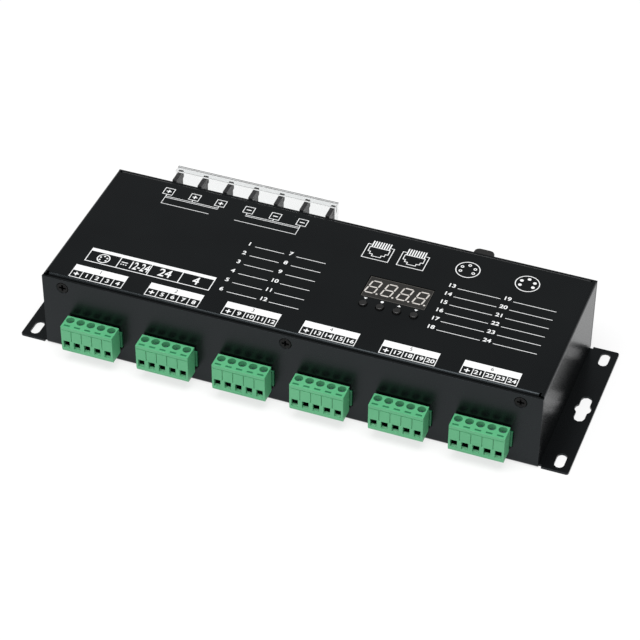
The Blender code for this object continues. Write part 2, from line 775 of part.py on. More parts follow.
def countersunk_screw(build, material, length=SCREW_LENGTH):
    """A flat-headed cross-recessed screw along Z, with its face at z = 0 and its shank below."""
    head, shank = SCREW_HEAD / 2, SCREW_SHANK / 2
    profile = [
        (0, 0),
        (head, 0),
        (head, -SCREW_RIM),
        (shank, -SCREW_RIM - (head - shank)),
        (shank, -length + shank / 2),
        (shank / 2, -length),
        (0, -length),
    ]
    screw = build.part("screw_blank", turned(profile, 12), material)
    for slot in crossed_slots(CROSS_LENGTH, CROSS_WIDTH, CROSS_DEPTH, "Z", 0):
        build.cut(screw, slot)
    return build.finished(screw)


def case_screws(build):
    """Three flat-headed screws in the front wall and three in the back, into the cover's lugs."""
    steel = new_material("blackened_screw", (0.02, 0.02, 0.02), 0.35, 0.8)
    blank = countersunk_screw(build, steel)
    number = 0
    for wall, outwards in ((FRONT, -1), (BACK, 1)):
        mesh = facing(blank.copy(), outwards)
        for x in case_screw_places():
            number += 1
            smooth(build.part(f"case_screw_{number}", mesh, steel, (x, wall, CASE_SCREW_LEVEL)))


def main_board(build):
    """Circuit board with its transistors and processor, cut away at the corner of the data connectors."""
    green = new_material("board_laminate", (0.02, 0.09, 0.045), 0.45)
    half_x = END - SHEET - BOARD_MARGIN
    half_y = BODY_DEPTH / 2 - SHEET - GAP
    body = Shapes().box((-half_x, -half_y, BOARD_BOTTOM), (half_x, half_y, BOARD_TOP))
    board = build.part("main_board", body.mesh("main_board"), green)
    sink = BOARD_THICKNESS / 2
    tools = Shapes()
    row_y = FRONT + HEADER_DEPTH + TRANSISTOR_BEHIND_HEADER + TRANSISTOR / 2
    for index in range(OUTPUTS):
        for way in range(WAYS - 1):
            x = output_x(index) + way_x(way, WAYS - 1, TRANSISTOR_PITCH)
            low = (x - TRANSISTOR / 2, row_y - TRANSISTOR / 2, BOARD_TOP - sink)
            tools.box(low, (x + TRANSISTOR / 2, row_y + TRANSISTOR / 2, BOARD_TOP + TRANSISTOR_HEIGHT))
    low = (DISPLAY_X - CHIP / 2, -CHIP / 2, BOARD_TOP - sink)
    tools.box(low, (DISPLAY_X + CHIP / 2, CHIP / 2, BOARD_TOP + CHIP_HEIGHT))
    build.join(board, tools.mesh("board_components"))
    corner = Shapes()
    left = XLR_OUT_X - XLR_BARREL / 2 - BOARD_CLEARANCE
    front = BACK - XLR_BARREL_DEPTH - BOARD_CLEARANCE
    corner.box((left, front, 0), (END, BACK, 2 * BOARD_TOP))
    build.cut(board, corner.mesh("connector_corner"))
    holes = Shapes()
    for place in board_screw_places():
        holes.rod(SCREW_SHANK / 2 + GAP, 0, 2 * BOARD_TOP, place, sides=12)
    build.cut(board, holes.mesh("board_holes"))
    return board


def board_screws(build):
    """Pan-headed screws that hold the main board on its standoffs."""
    steel = new_material("zinc_screw", (0.55, 0.56, 0.57), 0.3, 1.0)
    head, shank = PAN_HEAD / 2, SCREW_SHANK / 2
    reach = BOARD_THICKNESS + GAP + STANDOFF_HEIGHT
    profile = [
        (0, PAN_HEIGHT),
        (head * 0.7, PAN_HEIGHT),
        (head, PAN_HEIGHT * 0.55),
        (head, 0),
        (shank, 0),
        (shank, -reach),
        (0, -reach),
    ]
    mesh = turned(profile, 12)
    for number, (x, y) in enumerate(board_screw_places(), 1):
        smooth(build.part(f"board_screw_{number}", mesh, steel, (x, y, BOARD_TOP + GAP)))


def output_headers(build):
    """Soldered pin headers behind the front wall, open towards the front."""
    green = new_material("header_green", (0.03, 0.30, 0.13), 0.45)
    half = HEADER_WIDTH / 2
    cavity = TONGUE_WIDTH / 2 + GAP
    front, back = -HEADER_PROUD, HEADER_DEPTH - HEADER_PROUD
    body = Shapes().box((-half, front, 0), (half, back, HEADER_HEIGHT)).mesh("header_body")
    header = build.part("header_blank", body, green)
    hollow = Shapes()
    over = 1 * MM
    top = HEADER_HEIGHT - HEADER_ROOF
    hollow.box((-cavity, front - over, HEADER_FLOOR), (cavity, back - HEADER_BACK, top))
    build.cut(header, hollow.mesh("header_cavity"))
    pins = Shapes()
    level = PIN_LEVEL - HEADER_BOTTOM
    side = PIN_SIDE / 2
    for way in range(WAYS):
        x = way_x(way)
        low = (x - side, front + PIN_BEHIND_FACE, level - side)
        pins.box(low, (x + side, back - HEADER_BACK / 2, level + side))
    build.join(header, pins.mesh("header_pins"))
    mesh = build.finished(header)
    for index in range(OUTPUTS):
        build.part(f"output_header_{index + 1}", mesh, green, (output_x(index), FRONT, HEADER_BOTTOM))


def plug_section():
    """Side profile of the clamp block, front to back in u and upwards in v, with its chamfered front foot."""
    front, back = -PLUG_REACH, -PLUG_STANDOFF
    top, soft = PLUG_HEIGHT, PLUG_EDGE
    return [
        (back, 0),
        (back, top - soft),
        (back - soft, top),
        (front + soft, top),
        (front, top - soft),
        (front, PLUG_LIP),
        (front + PLUG_LIP_DEPTH, 0),
    ]


def wire_entry_outline():
    """Side profile of a wire entry: a ramp up from the mouth's foot to a hole along the mouth's top."""
    over = 1 * MM
    front = -PLUG_REACH
    foot = WIRE_MOUTH_FROM_FOOT
    top = foot + WIRE_MOUTH_HEIGHT
    hole = top - WIRE_HOLE_HEIGHT
    return [
        (front - over, foot),
        (front, foot),
        (front + WIRE_RAMP, hole),
        (front + WIRE_DEPTH, hole),
        (front + WIRE_DEPTH, top),
        (front - over, top),
    ]


def plug_cuts(build, plug):
    """Screw wells, pry slots, wire entries, panel grooves and pin sockets."""
    over = 1 * MM
    top = PLUG_HEIGHT
    front = -PLUG_REACH
    wells, entries, marks, sockets = Shapes(), Shapes(), Shapes(), Shapes()
    entry = extruded([wire_entry_outline()], WIRE_MOUTH_WIDTH, ALONG_X)
    level = PIN_LEVEL - PLUG_BOTTOM
    socket = PIN_SIDE / 2 + GAP
    socket_end = TONGUE_LENGTH - PLUG_STANDOFF + over
    slot_x, slot_y = PRY_SLOT_LENGTH / 2, PRY_SLOT_WIDTH / 2
    for way in range(WAYS):
        x = way_x(way)
        y = -PRY_SLOT_FROM_WALL
        wells.rod(WELL_WIDTH / 2, top - WELL_DEPTH, top + over, (x, -WELL_FROM_WALL), sides=12)
        entries.copy(entry, (x, 0, 0))
        marks.box((x - slot_x, y - slot_y, top - PRY_SLOT_DEPTH), (x + slot_x, y + slot_y, top + over))
        sockets.box((x - socket, PIN_SOCKET_START, level - socket), (x + socket, socket_end, level + socket))
    groove = PANEL_GROOVE / 2
    panel_low = WIRE_MOUTH_FROM_FOOT + WIRE_MOUTH_HEIGHT + PANEL_ABOVE_MOUTH
    panel_high = top - PANEL_BELOW_TOP
    inner = front + PANEL_GROOVE_DEPTH
    for way in range(WAYS - 1):
        x = way_x(way) + WAY_PITCH / 2
        marks.box((x - groove, front - over, panel_low), (x + groove, inner, panel_high))
    side = PLUG_WIDTH / 2 + over
    line = Shapes().box((-side, front - over, panel_high - groove), (side, inner, panel_high + groove))
    for mesh in (wells.mesh("wells"), entries.mesh("wire_entries"), marks.mesh("marks")):
        build.cut(plug, mesh)
    build.cut(plug, line.mesh("panel_line"))
    build.cut(plug, sockets.mesh("pin_sockets"))


def clamp_screws(build, plug):
    """The heads of the clamp screws in the bottom of the wells."""
    over = 0.3 * MM
    floor = PLUG_HEIGHT - WELL_DEPTH
    heads = Shapes()
    for way in range(WAYS):
        place = (way_x(way), -WELL_FROM_WALL)
        heads.rod(CLAMP_SCREW / 2, floor - over, floor + CLAMP_SCREW_HEIGHT, place, sides=8)
    build.join(plug, heads.mesh("clamp_screws"))


def output_plugs(build):
    """Five-way screw terminal plugs that pull off their headers towards the front."""
    green = new_material("plug_green", (0.14, 0.52, 0.26), 0.5)
    plug = build.part("plug_blank", extruded([plug_section()], PLUG_WIDTH, ALONG_X), green)
    half = TONGUE_WIDTH / 2
    low = TONGUE_BOTTOM - PLUG_BOTTOM
    tongue = Shapes().box(
        (-half, -PLUG_STANDOFF - TONGUE_ROOT, low),
        (half, TONGUE_LENGTH - PLUG_STANDOFF, low + TONGUE_HEIGHT),
    )
    build.join(plug, tongue.mesh("tongue"))
    plug_cuts(build, plug)
    clamp_screws(build, plug)
    mesh = build.finished(plug)
    for index in range(OUTPUTS):
        build.part(f"output_plug_{index + 1}", mesh, green, (output_x(index), FRONT, PLUG_BOTTOM))


def rib_x(index):
    return (index - STRIP_WAYS / 2) * STRIP_PITCH


def rib_outline():
    """Side profile of a rib, with the catch for the guard under its rounded outer corner."""
    catch = RIB_TOP - RIB_CATCH_HEIGHT
    neck = RIB_REACH - RIB_CATCH
    return [
        (GAP, RIB_BOTTOM),
        (neck, RIB_BOTTOM),
        (neck, catch - RIB_CATCH_SLOPE),
        (RIB_REACH, catch),
        *arc((RIB_REACH - RIB_CORNER, RIB_TOP - RIB_CORNER), RIB_CORNER, 0, 90, 3),
        (GAP, RIB_TOP),
    ]


def input_strip(build):
    """Barrier strip: a floor outside the back wall, ribs between the bays, and a tail down to the board."""
    brown = new_material("strip_phenolic", (0.018, 0.018, 0.020), 0.5)
    half = STRIP_WIDTH / 2
    floor_top = RIB_TOP - STRIP_FLOOR_DROP
    floor = Shapes().box((-half, GAP, RIB_BOTTOM), (half, GAP + STRIP_FLOOR, floor_top)).mesh("strip_floor")
    strip = build.part("input_strip", floor, brown, (STRIP_X, BACK, 0))
    tail = Shapes()
    over = 1 * MM
    tail_top = STRIP_TAIL_BOTTOM + STRIP_TAIL_HEIGHT
    tail.box((-half, -STRIP_TAIL, STRIP_TAIL_BOTTOM), (half, GAP + over, tail_top))
    build.join(strip, tail.mesh("strip_tail"))
    foot = Shapes()
    foot_half = half - STRIP_PITCH / 2
    foot.box((-foot_half, -STRIP_TAIL, HEADER_BOTTOM), (foot_half, -STRIP_TAIL / 2, STRIP_TAIL_BOTTOM + over))
    build.join(strip, foot.mesh("strip_foot"))
    rib = extruded([rib_outline()], RIB, ALONG_X)
    ribs = Shapes()
    for index in range(STRIP_WAYS + 1):
        ribs.copy(rib, (rib_x(index), 0, 0))
    build.join(strip, ribs.mesh("strip_ribs"))
    bores = Shapes()
    for way in range(STRIP_WAYS):
        x = way_x(way, STRIP_WAYS, STRIP_PITCH)
        low = STRIP_FLOOR - INPUT_SCREW_LENGTH
        radius = INPUT_SCREW_SHANK / 2 + THREAD_GAP
        bores.rod(radius, low, RIB_REACH, (x, INPUT_SCREW_LEVEL), "Y", sides=12)
    build.cut(strip, bores.mesh("screw_bores"))
    return strip


def input_screws(build):
    """Cross-slotted terminal screws with captive square washers, backed out for a fork terminal."""
    steel = new_material("plated_screw", (0.62, 0.60, 0.55), 0.28, 1.0)
    head, shank = INPUT_SCREW_HEAD / 2, INPUT_SCREW_SHANK / 2
    washer_top = INPUT_SCREW_LIFT + INPUT_WASHER_THICKNESS
    top = washer_top + INPUT_SCREW_HEAD_HEIGHT
    profile = [
        (0, top),
        (head * 0.8, top),
        (head, top - INPUT_SCREW_EDGE),
        (head, washer_top - INPUT_WASHER_THICKNESS / 4),
        (shank, washer_top - INPUT_WASHER_THICKNESS / 4),
        (shank, -INPUT_SCREW_LENGTH),
        (0, -INPUT_SCREW_LENGTH),
    ]
    screw = build.part("input_screw_blank", turned(profile, 14, "Y"), steel)
    half = INPUT_WASHER / 2
    washer = Shapes().box((-half, INPUT_SCREW_LIFT, -half), (half, washer_top, half))
    build.join(screw, washer.mesh("washer"))
    for slot in crossed_slots(INPUT_CROSS_LENGTH, INPUT_CROSS_WIDTH, INPUT_CROSS_DEPTH, "Y", top):
        build.cut(screw, slot)
    mesh = build.finished(screw)
    for way in range(STRIP_WAYS):
        x = STRIP_X + way_x(way, STRIP_WAYS, STRIP_PITCH)
        smooth(build.part(f"input_screw_{way + 1}", mesh, steel, (x, STRIP_FACE, INPUT_SCREW_LEVEL)))


def input_strip_cover(build):
    """Clear guard over the barrier strip: a plate with a lip on the ribs and a return at each end."""
    clear = new_material("clear_guard", (0.85, 0.87, 0.88), 0.08, 0.0, 0.35)
    half = STRIP_COVER_WIDTH / 2
    inner = STRIP_WIDTH / 2 + GAP
    plate = STRIP_COVER_WALL
    low, high = STRIP_COVER_TOP - STRIP_COVER_HEIGHT, STRIP_COVER_TOP
    back = RIB_REACH + GAP + plate
    body = Shapes().box((-half, back - STRIP_COVER_LIP, low), (half, back, high)).mesh("guard_body")
    cover = build.part("input_strip_cover", body, clear, (STRIP_X, BACK, 0))
    over = 1 * MM
    hollow = Shapes().box(
        (-inner, back - STRIP_COVER_LIP - over, low - over), (inner, back - plate, high - plate)
    )
    build.cut(cover, hollow.mesh("guard_hollow"))
    return cover


def display_module(build):
    """Four-digit seven-segment module that fills the cover's window."""
    grey = new_material("display_face", (0.05, 0.045, 0.042), 0.35)
    half_x, half_y = DISPLAY_LENGTH / 2, DISPLAY_WIDTH / 2
    body = Shapes().box((-half_x, -half_y, -DISPLAY_HEIGHT), (half_x, half_y, 0))
    return build.part("display_module", body.mesh("display_body"), grey, (DISPLAY_X, DISPLAY_Y, DISPLAY_TOP))


def spacer_places():
    x = CONTROL_BOARD_LENGTH / 2 - SPACER_INSET
    y = CONTROL_BOARD_WIDTH / 2 - SPACER_INSET
    return [(DISPLAY_X + i * x, CONTROL_BOARD_Y + j * y) for j in (-1, 1) for i in (-1, 1)]


def control_board(build):
    """Small board under the cover that carries the display and the button switches."""
    green = new_material("control_laminate", (0.02, 0.09, 0.045), 0.45)
    half_x, half_y = CONTROL_BOARD_LENGTH / 2, CONTROL_BOARD_WIDTH / 2
    low = (DISPLAY_X - half_x, CONTROL_BOARD_Y - half_y, CONTROL_BOARD_BOTTOM)
    high = (DISPLAY_X + half_x, CONTROL_BOARD_Y + half_y, CONTROL_BOARD_TOP)
    return build.part("control_board", Shapes().box(low, high).mesh("control_board"), green)


def display_spacers(build):
    """Hexagonal spacers between the main board and the control board."""
    brass = new_material("spacer_brass", (0.60, 0.45, 0.18), 0.3, 1.0)
    radius = SPACER_WIDTH / 2 / math.cos(math.pi / 6)
    low, high = BOARD_TOP + GAP, CONTROL_BOARD_BOTTOM - GAP
    mesh = Shapes().rod(radius, 0, high - low, (0, 0), sides=6).mesh("spacer")
    for number, (x, y) in enumerate(spacer_places(), 1):
        build.part(f"display_spacer_{number}", mesh, brass, (x, y, low))


def button_x(index):
    return DISPLAY_X + way_x(index, BUTTONS, BUTTON_PITCH)


def switches(build):
    """Tact switch bodies, each with a well for its button's stem."""
    black = new_material("switch_plastic", (0.03, 0.03, 0.03), 0.5)
    half = SWITCH_SIDE / 2
    body = Shapes().box((-half, -half, 0), (half, half, SWITCH_HEIGHT)).mesh("switch_body")
    switch = build.part("switch_blank", body, black)
    over = 1 * MM
    well = Shapes().rod(
        BUTTON_WIDTH / 2 + GAP, SWITCH_HEIGHT - SWITCH_WELL, SWITCH_HEIGHT + over, (0, 0), sides=12
    )
    build.cut(switch, well.mesh("switch_well"))
    mesh = build.finished(switch)
    for index in range(BUTTONS):
        build.part(f"switch_{index + 1}", mesh, black, (button_x(index), BUTTON_Y, CONTROL_BOARD_TOP + GAP))


def buttons(build):
    """Round sprung buttons that stand out of the cover."""
    black = new_material("button_plastic", (0.012, 0.012, 0.012), 0.35)
    radius = BUTTON_WIDTH / 2
    height = BUTTON_TOP - BUTTON_BOTTOM
    soft = BUTTON_EDGE
    rim = [(radius - soft + x, height - soft + z) for x, z in reversed(arc((0, 0), soft, 0, 90, 2))]
    mesh = turned([(0, height), *rim, (radius, 0), (0, 0)], 16)
    for index in range(BUTTONS):
        smooth(build.part(f"button_{index + 1}", mesh, black, (button_x(index), BUTTON_Y, BUTTON_BOTTOM)))


def network_jacks(build):
    """Two eight-contact modular jacks in the back wall."""
    black = new_material("jack_plastic", (0.02, 0.02, 0.022), 0.45)
    half = JACK_WIDTH / 2
    face = JACK_PROUD
    body = Shapes().box((-half, face - JACK_DEPTH, 0), (half, face, JACK_HEIGHT)).mesh("jack_body")
    jack = build.part("jack_blank", body, black)
    over = 1 * MM
    sill = (JACK_HEIGHT - SOCKET_HEIGHT + SOCKET_STEP) / 2
    ceiling = sill + SOCKET_HEIGHT
    back = face - SOCKET_DEPTH
    for width, drop in ((SOCKET_WIDTH, 0), (CLIP_WIDTH, SOCKET_STEP / 2), (CLIP_SLOT, SOCKET_STEP)):
        mouth = Shapes().box((-width / 2, back, sill - drop), (width / 2, face + over, ceiling))
        build.cut(jack, mouth.mesh("jack_socket"))
    contacts = Shapes()
    wire = JACK_CONTACT / 2
    for index in range(JACK_CONTACTS):
        x = way_x(index, JACK_CONTACTS, JACK_CONTACT_PITCH)
        low = (x - wire, back - wire, ceiling - 2 * wire)
        contacts.box(low, (x + wire, face - JACK_CONTACT_START, ceiling + wire))
    build.join(jack, contacts.mesh("jack_contacts"))
    mesh = build.finished(jack)
    for number, x in enumerate(jack_places(), 1):
        build.part(f"network_jack_{number}", mesh, black, (x, BACK, BOARD_TOP + GAP))


def xlr_pin_places():
    """The five contacts' places on their circle, which leaves its foot open."""
    radius = XLR_PIN_CIRCLE / 2
    angles = [math.radians(90 + way_x(i, XLR_PINS, XLR_PIN_SPREAD)) for i in range(XLR_PINS)]
    return [(radius * math.cos(angle), radius * math.sin(angle)) for angle in angles]


def xlr_housing(build, name, x, bore, depth, material):
    """Flange plate outside the wall and a barrel inside it, bored for the insert."""
    outline = rounded_rectangle(XLR_PLATE_WIDTH, XLR_PLATE_HEIGHT, XLR_PLATE_CORNER)
    middle = GAP + XLR_PLATE_THICKNESS / 2
    plate = extruded([outline], XLR_PLATE_THICKNESS, ALONG_Y, (0, middle, 0))
    housing = build.part(name, plate, material, (x, BACK, XLR_HEIGHT))
    over = 1 * MM
    face = GAP + XLR_PLATE_THICKNESS
    barrel = Shapes().rod(XLR_BARREL / 2, -XLR_BARREL_DEPTH, GAP + over, (0, 0), "Y", sides=20)
    build.join(housing, barrel.mesh("barrel"))
    hollow = Shapes().rod(bore / 2, face - depth, face + over, (0, 0), "Y", sides=20)
    build.cut(housing, hollow.mesh("bore"))
    sinks = Shapes()
    hole = facing(countersink(2 * XLR_PLATE_THICKNESS), 1)
    for dx, dz in xlr_screw_offsets():
        sinks.copy(hole, (dx, face, dz))
    build.cut(housing, sinks.mesh("plate_sinks"))
    return housing


def xlr_female(build):
    """Data output: a socket insert with five contact bores, and a window for the latch."""
    black = new_material("xlr_black", (0.016, 0.016, 0.017), 0.4)
    housing = xlr_housing(build, "xlr_out_housing", XLR_OUT_X, XLR_FEMALE_BORE, XLR_FEMALE_DEPTH, black)
    face = GAP + XLR_PLATE_THICKNESS
    half = LATCH_WIDTH / 2 + GAP
    over = 1 * MM
    low = (-half, -LATCH_TAIL - LATCH_TRAVEL - GAP, LATCH_ABOVE_AXIS - LATCH_HOOK - GAP)
    high = (half, face + over, LATCH_ABOVE_AXIS + LATCH_HEIGHT + GAP)
    build.cut(housing, Shapes().box(low, high).mesh("latch_slot"))
    floor = face - XLR_FEMALE_DEPTH
    tip = face - XLR_INSERT_BELOW_FACE
    insert_radius = XLR_FEMALE_INSERT / 2
    soft = XLR_INSERT_EDGE
    profile = [
        (0, tip),
        (insert_radius - soft, tip),
        (insert_radius, tip - soft),
        (insert_radius, floor + GAP),
        (0, floor + GAP),
    ]
    insert = build.part("xlr_out_insert", turned(profile, 20, "Y"), black, (XLR_OUT_X, BACK, XLR_HEIGHT))
    contacts = Shapes()
    for place in xlr_pin_places():
        contacts.rod(XLR_PIN / 2 + GAP, tip - XLR_PIN_LENGTH, tip + over, place, "Y", sides=8)
    build.cut(insert, contacts.mesh("contact_bores"))


def xlr_male(build):
    """Data input: an open receptacle with five pins on its floor."""
    black = new_material("xlr_receptacle", (0.016, 0.016, 0.017), 0.4)
    xlr_housing(build, "xlr_in_housing", XLR_IN_X, XLR_MALE_BORE, XLR_MALE_DEPTH, black)
    face = GAP + XLR_PLATE_THICKNESS
    floor = face - XLR_MALE_DEPTH + GAP
    top = floor + XLR_MALE_INSERT_THICKNESS
    disc = Shapes().rod(XLR_MALE_BORE / 2 - GAP, floor, top, (0, 0), "Y", sides=20)
    insert = build.part("xlr_in_insert", disc.mesh("pin_disc"), black, (XLR_IN_X, BACK, XLR_HEIGHT))
    pins = Shapes()
    for place in xlr_pin_places():
        pins.rod(XLR_PIN / 2, floor + GAP, top + XLR_PIN_LENGTH, place, "Y", sides=8)
    build.join(insert, pins.mesh("pins"))


def xlr_latch(build):
    """Push tab that frees the plug, with round outer corners and a hook down into the socket."""
    black = new_material("latch_plastic", (0.02, 0.02, 0.019), 0.35)
    half = LATCH_WIDTH / 2
    corner = LATCH_CORNER
    outline = [
        (-half, -LATCH_TAIL),
        (half, -LATCH_TAIL),
        *arc((half - corner, LATCH_PROUD - corner), corner, 0, 90, 4),
        *arc((-half + corner, LATCH_PROUD - corner), corner, 90, 180, 4),
    ]
    mesh = extruded([outline], LATCH_HEIGHT)
    place = (XLR_OUT_X, BACK, XLR_HEIGHT + LATCH_ABOVE_AXIS + LATCH_HEIGHT / 2)
    latch = build.part("xlr_latch", mesh, black, place)
    hook = Shapes().box(
        (-LATCH_HOOK_WIDTH / 2, -LATCH_TAIL, -LATCH_HEIGHT / 2 - LATCH_HOOK),
        (LATCH_HOOK_WIDTH / 2, -LATCH_TAIL + 2 * LATCH_HOOK, 0),
    )
    build.join(latch, hook.mesh("latch_hook"))
    bevel = latch.modifiers.new("soft_edges", "BEVEL")
    bevel.width = LATCH_EDGE
    bevel.segments = 2
    bevel.limit_method = "ANGLE"
    bevel.angle_limit = math.radians(60)
    return latch


def xlr_screws(build):
    """Flat-headed screws through the connector plates, two to a connector."""
    steel = new_material("connector_screw", (0.02, 0.02, 0.02), 0.35, 0.8)
    mesh = facing(countersunk_screw(build, steel), 1)
    number = 0
    for x in (XLR_OUT_X, XLR_IN_X):
        for dx, dz in xlr_screw_offsets():
            number += 1
            place = (x + dx, XLR_FACE, XLR_HEIGHT + dz)
            smooth(build.part(f"xlr_screw_{number}", mesh, steel, place))


def input_capacitors(build):
    """Electrolytic capacitors that smooth the DC input."""
    sleeve = new_material("capacitor_sleeve", (0.03, 0.04, 0.06), 0.4)
    radius = CAPACITOR_WIDTH / 2
    height = CAPACITOR_HEIGHT
    neck = CAPACITOR_NECK
    profile = [
        (0, height),
        (radius - neck, height),
        (radius, height - neck),
        (radius, 3 * neck),
        (radius - neck, 2.5 * neck),
        (radius - neck, 2 * neck),
        (radius, 1.5 * neck),
        (radius, 0),
        (0, 0),
    ]
    mesh = turned(profile, 16)
    y = BACK - STRIP_TAIL - CAPACITOR_FROM_STRIP - radius
    for number, side in enumerate((-1, 1), 1):
        x = STRIP_X + side * CAPACITOR_PITCH / 2
        smooth(build.part(f"input_capacitor_{number}", mesh, sleeve, (x, y, BOARD_TOP + GAP)))


def main():
    clear_scene()
    build = Builder()
    chassis_tray(build)
    top_cover(build)
    case_screws(build)
    main_board(build)
    board_screws(build)
    output_headers(build)
    output_plugs(build)
    input_strip(build)
    input_screws(build)
    input_strip_cover(build)
    display_module(build)
    control_board(build)
    display_spacers(build)
    switches(build)
    buttons(build)
    network_jacks(build)
    xlr_female(build)
    xlr_male(build)
    xlr_latch(build)
    xlr_screws(build)
    input_capacitors(build)


main()
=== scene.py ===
"""Looks of the 24-channel LED dimmer: a black flanged case with green output plugs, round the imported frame.

Pieces are drawn in millimetres from the case's front left foot, and then set in their place in metres.
"""

import math

import bmesh
import bpy
from mathutils import Matrix, Vector


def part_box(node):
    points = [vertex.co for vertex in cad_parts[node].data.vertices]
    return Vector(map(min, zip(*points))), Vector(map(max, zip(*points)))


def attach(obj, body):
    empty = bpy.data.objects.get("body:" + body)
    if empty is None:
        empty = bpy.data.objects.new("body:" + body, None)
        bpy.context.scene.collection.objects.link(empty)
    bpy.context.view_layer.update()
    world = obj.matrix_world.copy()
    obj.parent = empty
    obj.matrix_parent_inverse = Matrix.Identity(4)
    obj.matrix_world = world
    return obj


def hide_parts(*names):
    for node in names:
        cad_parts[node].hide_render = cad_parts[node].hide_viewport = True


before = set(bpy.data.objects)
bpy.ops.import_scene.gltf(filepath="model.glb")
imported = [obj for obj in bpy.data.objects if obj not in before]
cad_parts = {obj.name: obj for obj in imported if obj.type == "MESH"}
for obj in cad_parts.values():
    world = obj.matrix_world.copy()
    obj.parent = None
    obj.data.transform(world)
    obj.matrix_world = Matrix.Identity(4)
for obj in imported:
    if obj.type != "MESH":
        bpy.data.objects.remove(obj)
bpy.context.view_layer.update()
scene = bpy.context.scene
scene.view_settings.view_transform = "Standard"

# Table, light and camera
# The dimmer stands on a pale table under a large overhead lamp, with weaker lamps to its left and in front. The
# camera looks down at it from the front right.
MM = 0.001
cover_low, cover_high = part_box("top_cover")
tray_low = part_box("chassis_tray")[0]
CASE_Y = (cover_low.y + cover_high.y) / 2
CORNER = Matrix.Translation((cover_low.x, tray_low.y, 0)) @ Matrix.Scale(MM, 4)


def linked(name, data):
    obj = bpy.data.objects.new(name, data)
    scene.collection.objects.link(obj)
    return obj


class Finish:
    """A node-built material, with its nodes added one by one and its colours on Object coordinates."""

    def __init__(self, name):
        self.material = bpy.data.materials.new(name)
        self.material.use_nodes = True
        self.nodes = self.material.node_tree.nodes
        self.shader = self.nodes["Principled BSDF"]

    def fill(self, node, sockets):
        for name, value in sockets.items():
            if isinstance(value, bpy.types.NodeSocket):
                self.material.node_tree.links.new(value, node.inputs[name])
            else:
                node.inputs[name].default_value = value
        return node

    def node(self, kind, sockets=None, **settings):
        made = self.nodes.new("ShaderNode" + kind)
        for key, value in settings.items():
            setattr(made, key, value)
        return self.fill(made, sockets or {})

    def place(self):
        return self.node("TexCoord").outputs["Object"]

    def noise(self, scale, detail=2.0, roughness=0.5):
        """Cloudy variation, in lumps a few parts of 1/scale metre wide."""
        sockets = {"Vector": self.place(), "Scale": scale, "Detail": detail, "Roughness": roughness}
        return self.node("TexNoise", sockets).outputs["Fac"]

    def between(self, factor, low, high):
        """Numbers or colours from low to high as the factor goes from 0.3 to 0.7."""
        if isinstance(low, tuple):
            ramp = self.node("ValToRGB", {0: factor})
            for stop, position, colour in zip(ramp.color_ramp.elements, (0.3, 0.7), (low, high)):
                stop.position = position
                stop.color = (*colour, 1)
            return ramp.outputs["Color"]
        return self.node("MapRange", {0: factor, 1: 0.3, 2: 0.7, 3: low, 4: high}).outputs[0]

    def bumped(self, height, strength, distance):
        sockets = {"Height": height, "Strength": strength, "Distance": distance}
        return self.node("Bump", sockets).outputs["Normal"]

    def made(self, **sockets):
        spelled = {"ior": "IOR", "specular": "Specular IOR Level", "transmission": "Transmission Weight"}
        named = {spelled.get(key, key.replace("_", " ").title()): value for key, value in sockets.items()}
        self.fill(self.shader, named)
        return self.material


TABLE_REACH = 6.0
SHADOW_CLEARED = 0.72
ROOM_LIGHT = 0.32
corners = [(x * TABLE_REACH, y * TABLE_REACH, 0) for x, y in ((-1, -1), (1, -1), (1, 1), (-1, 1))]
floor_mesh = bpy.data.meshes.new("table_top")
floor_mesh.from_pydata(corners, [], [(0, 1, 2, 3)])
table = linked("table_top", floor_mesh)
white = Finish("table_white")
white.made(base_color=(0.86, 0.86, 0.86, 1), roughness=0.9, specular=0.0)
rays = white.node("LightPath").outputs
clean = white.node("Math", {0: rays["Is Camera Ray"], 1: rays["Is Transmission Ray"]}, operation="MAXIMUM")
clean = white.node("Math", {0: clean.outputs[0], 1: rays["Is Glossy Ray"]}, operation="MAXIMUM")
clean = white.node("Math", {0: clean.outputs[0], 1: SHADOW_CLEARED}, operation="MULTIPLY")
glow = white.node("Emission", {"Color": (1, 1, 1, 1), "Strength": 1.0})
blend = white.node("MixShader", {0: clean.outputs[0], 1: white.shader.outputs[0], 2: glow.outputs[0]})
white.fill(white.nodes["Material Output"], {"Surface": blend.outputs[0]})
floor_mesh.materials.append(white.material)

room = bpy.data.worlds.new("room")
room.use_nodes = True
room.node_tree.nodes["Background"].inputs["Color"].default_value = (1, 1, 1, 1)
room.node_tree.nodes["Background"].inputs["Strength"].default_value = ROOM_LIGHT
scene.world = room


def lamp(name, place, size, power):
    light = bpy.data.lights.new(name, "AREA")
    light.shape = "RECTANGLE"
    light.size, light.size_y = size
    light.energy = power
    aim = (-Vector(place)).to_track_quat("-Z", "Y").to_matrix().to_4x4()
    linked(name, light).matrix_world = Matrix.Translation(place) @ aim


lamp("overhead_lamp", (0.1, -0.3, 1.5), (1.4, 0.9), 26)
lamp("left_lamp", (-1.2, -0.7, 0.9), (0.8, 0.8), 6)
lamp("front_lamp", (0.3, -0.95, 0.5), (0.5, 0.4), 0.8)

AZIMUTH, ELEVATION, ROLL = (math.radians(angle) for angle in (20.237, 40.180, 0.435))
EYE = Vector((0.2903324, CASE_Y - 0.7865056, 0.7231621))
LENS = 134.6936
across, rise = math.cos(ELEVATION), math.sin(ELEVATION)
away = Vector((math.sin(AZIMUTH) * across, -math.cos(AZIMUTH) * across, rise))
level = (-away).cross(Vector((0, 0, 1))).normalized()
upright = level.cross(-away)
right = math.cos(ROLL) * level + math.sin(ROLL) * upright
up = math.cos(ROLL) * upright - math.sin(ROLL) * level
lens = bpy.data.cameras.new("camera")
lens.lens, lens.sensor_width, lens.clip_start = LENS, 36, 0.01
camera = linked("camera", lens)
camera.matrix_world = Matrix.Translation(EYE) @ Matrix((right, up, away)).transposed().to_4x4()
scene.camera = camera

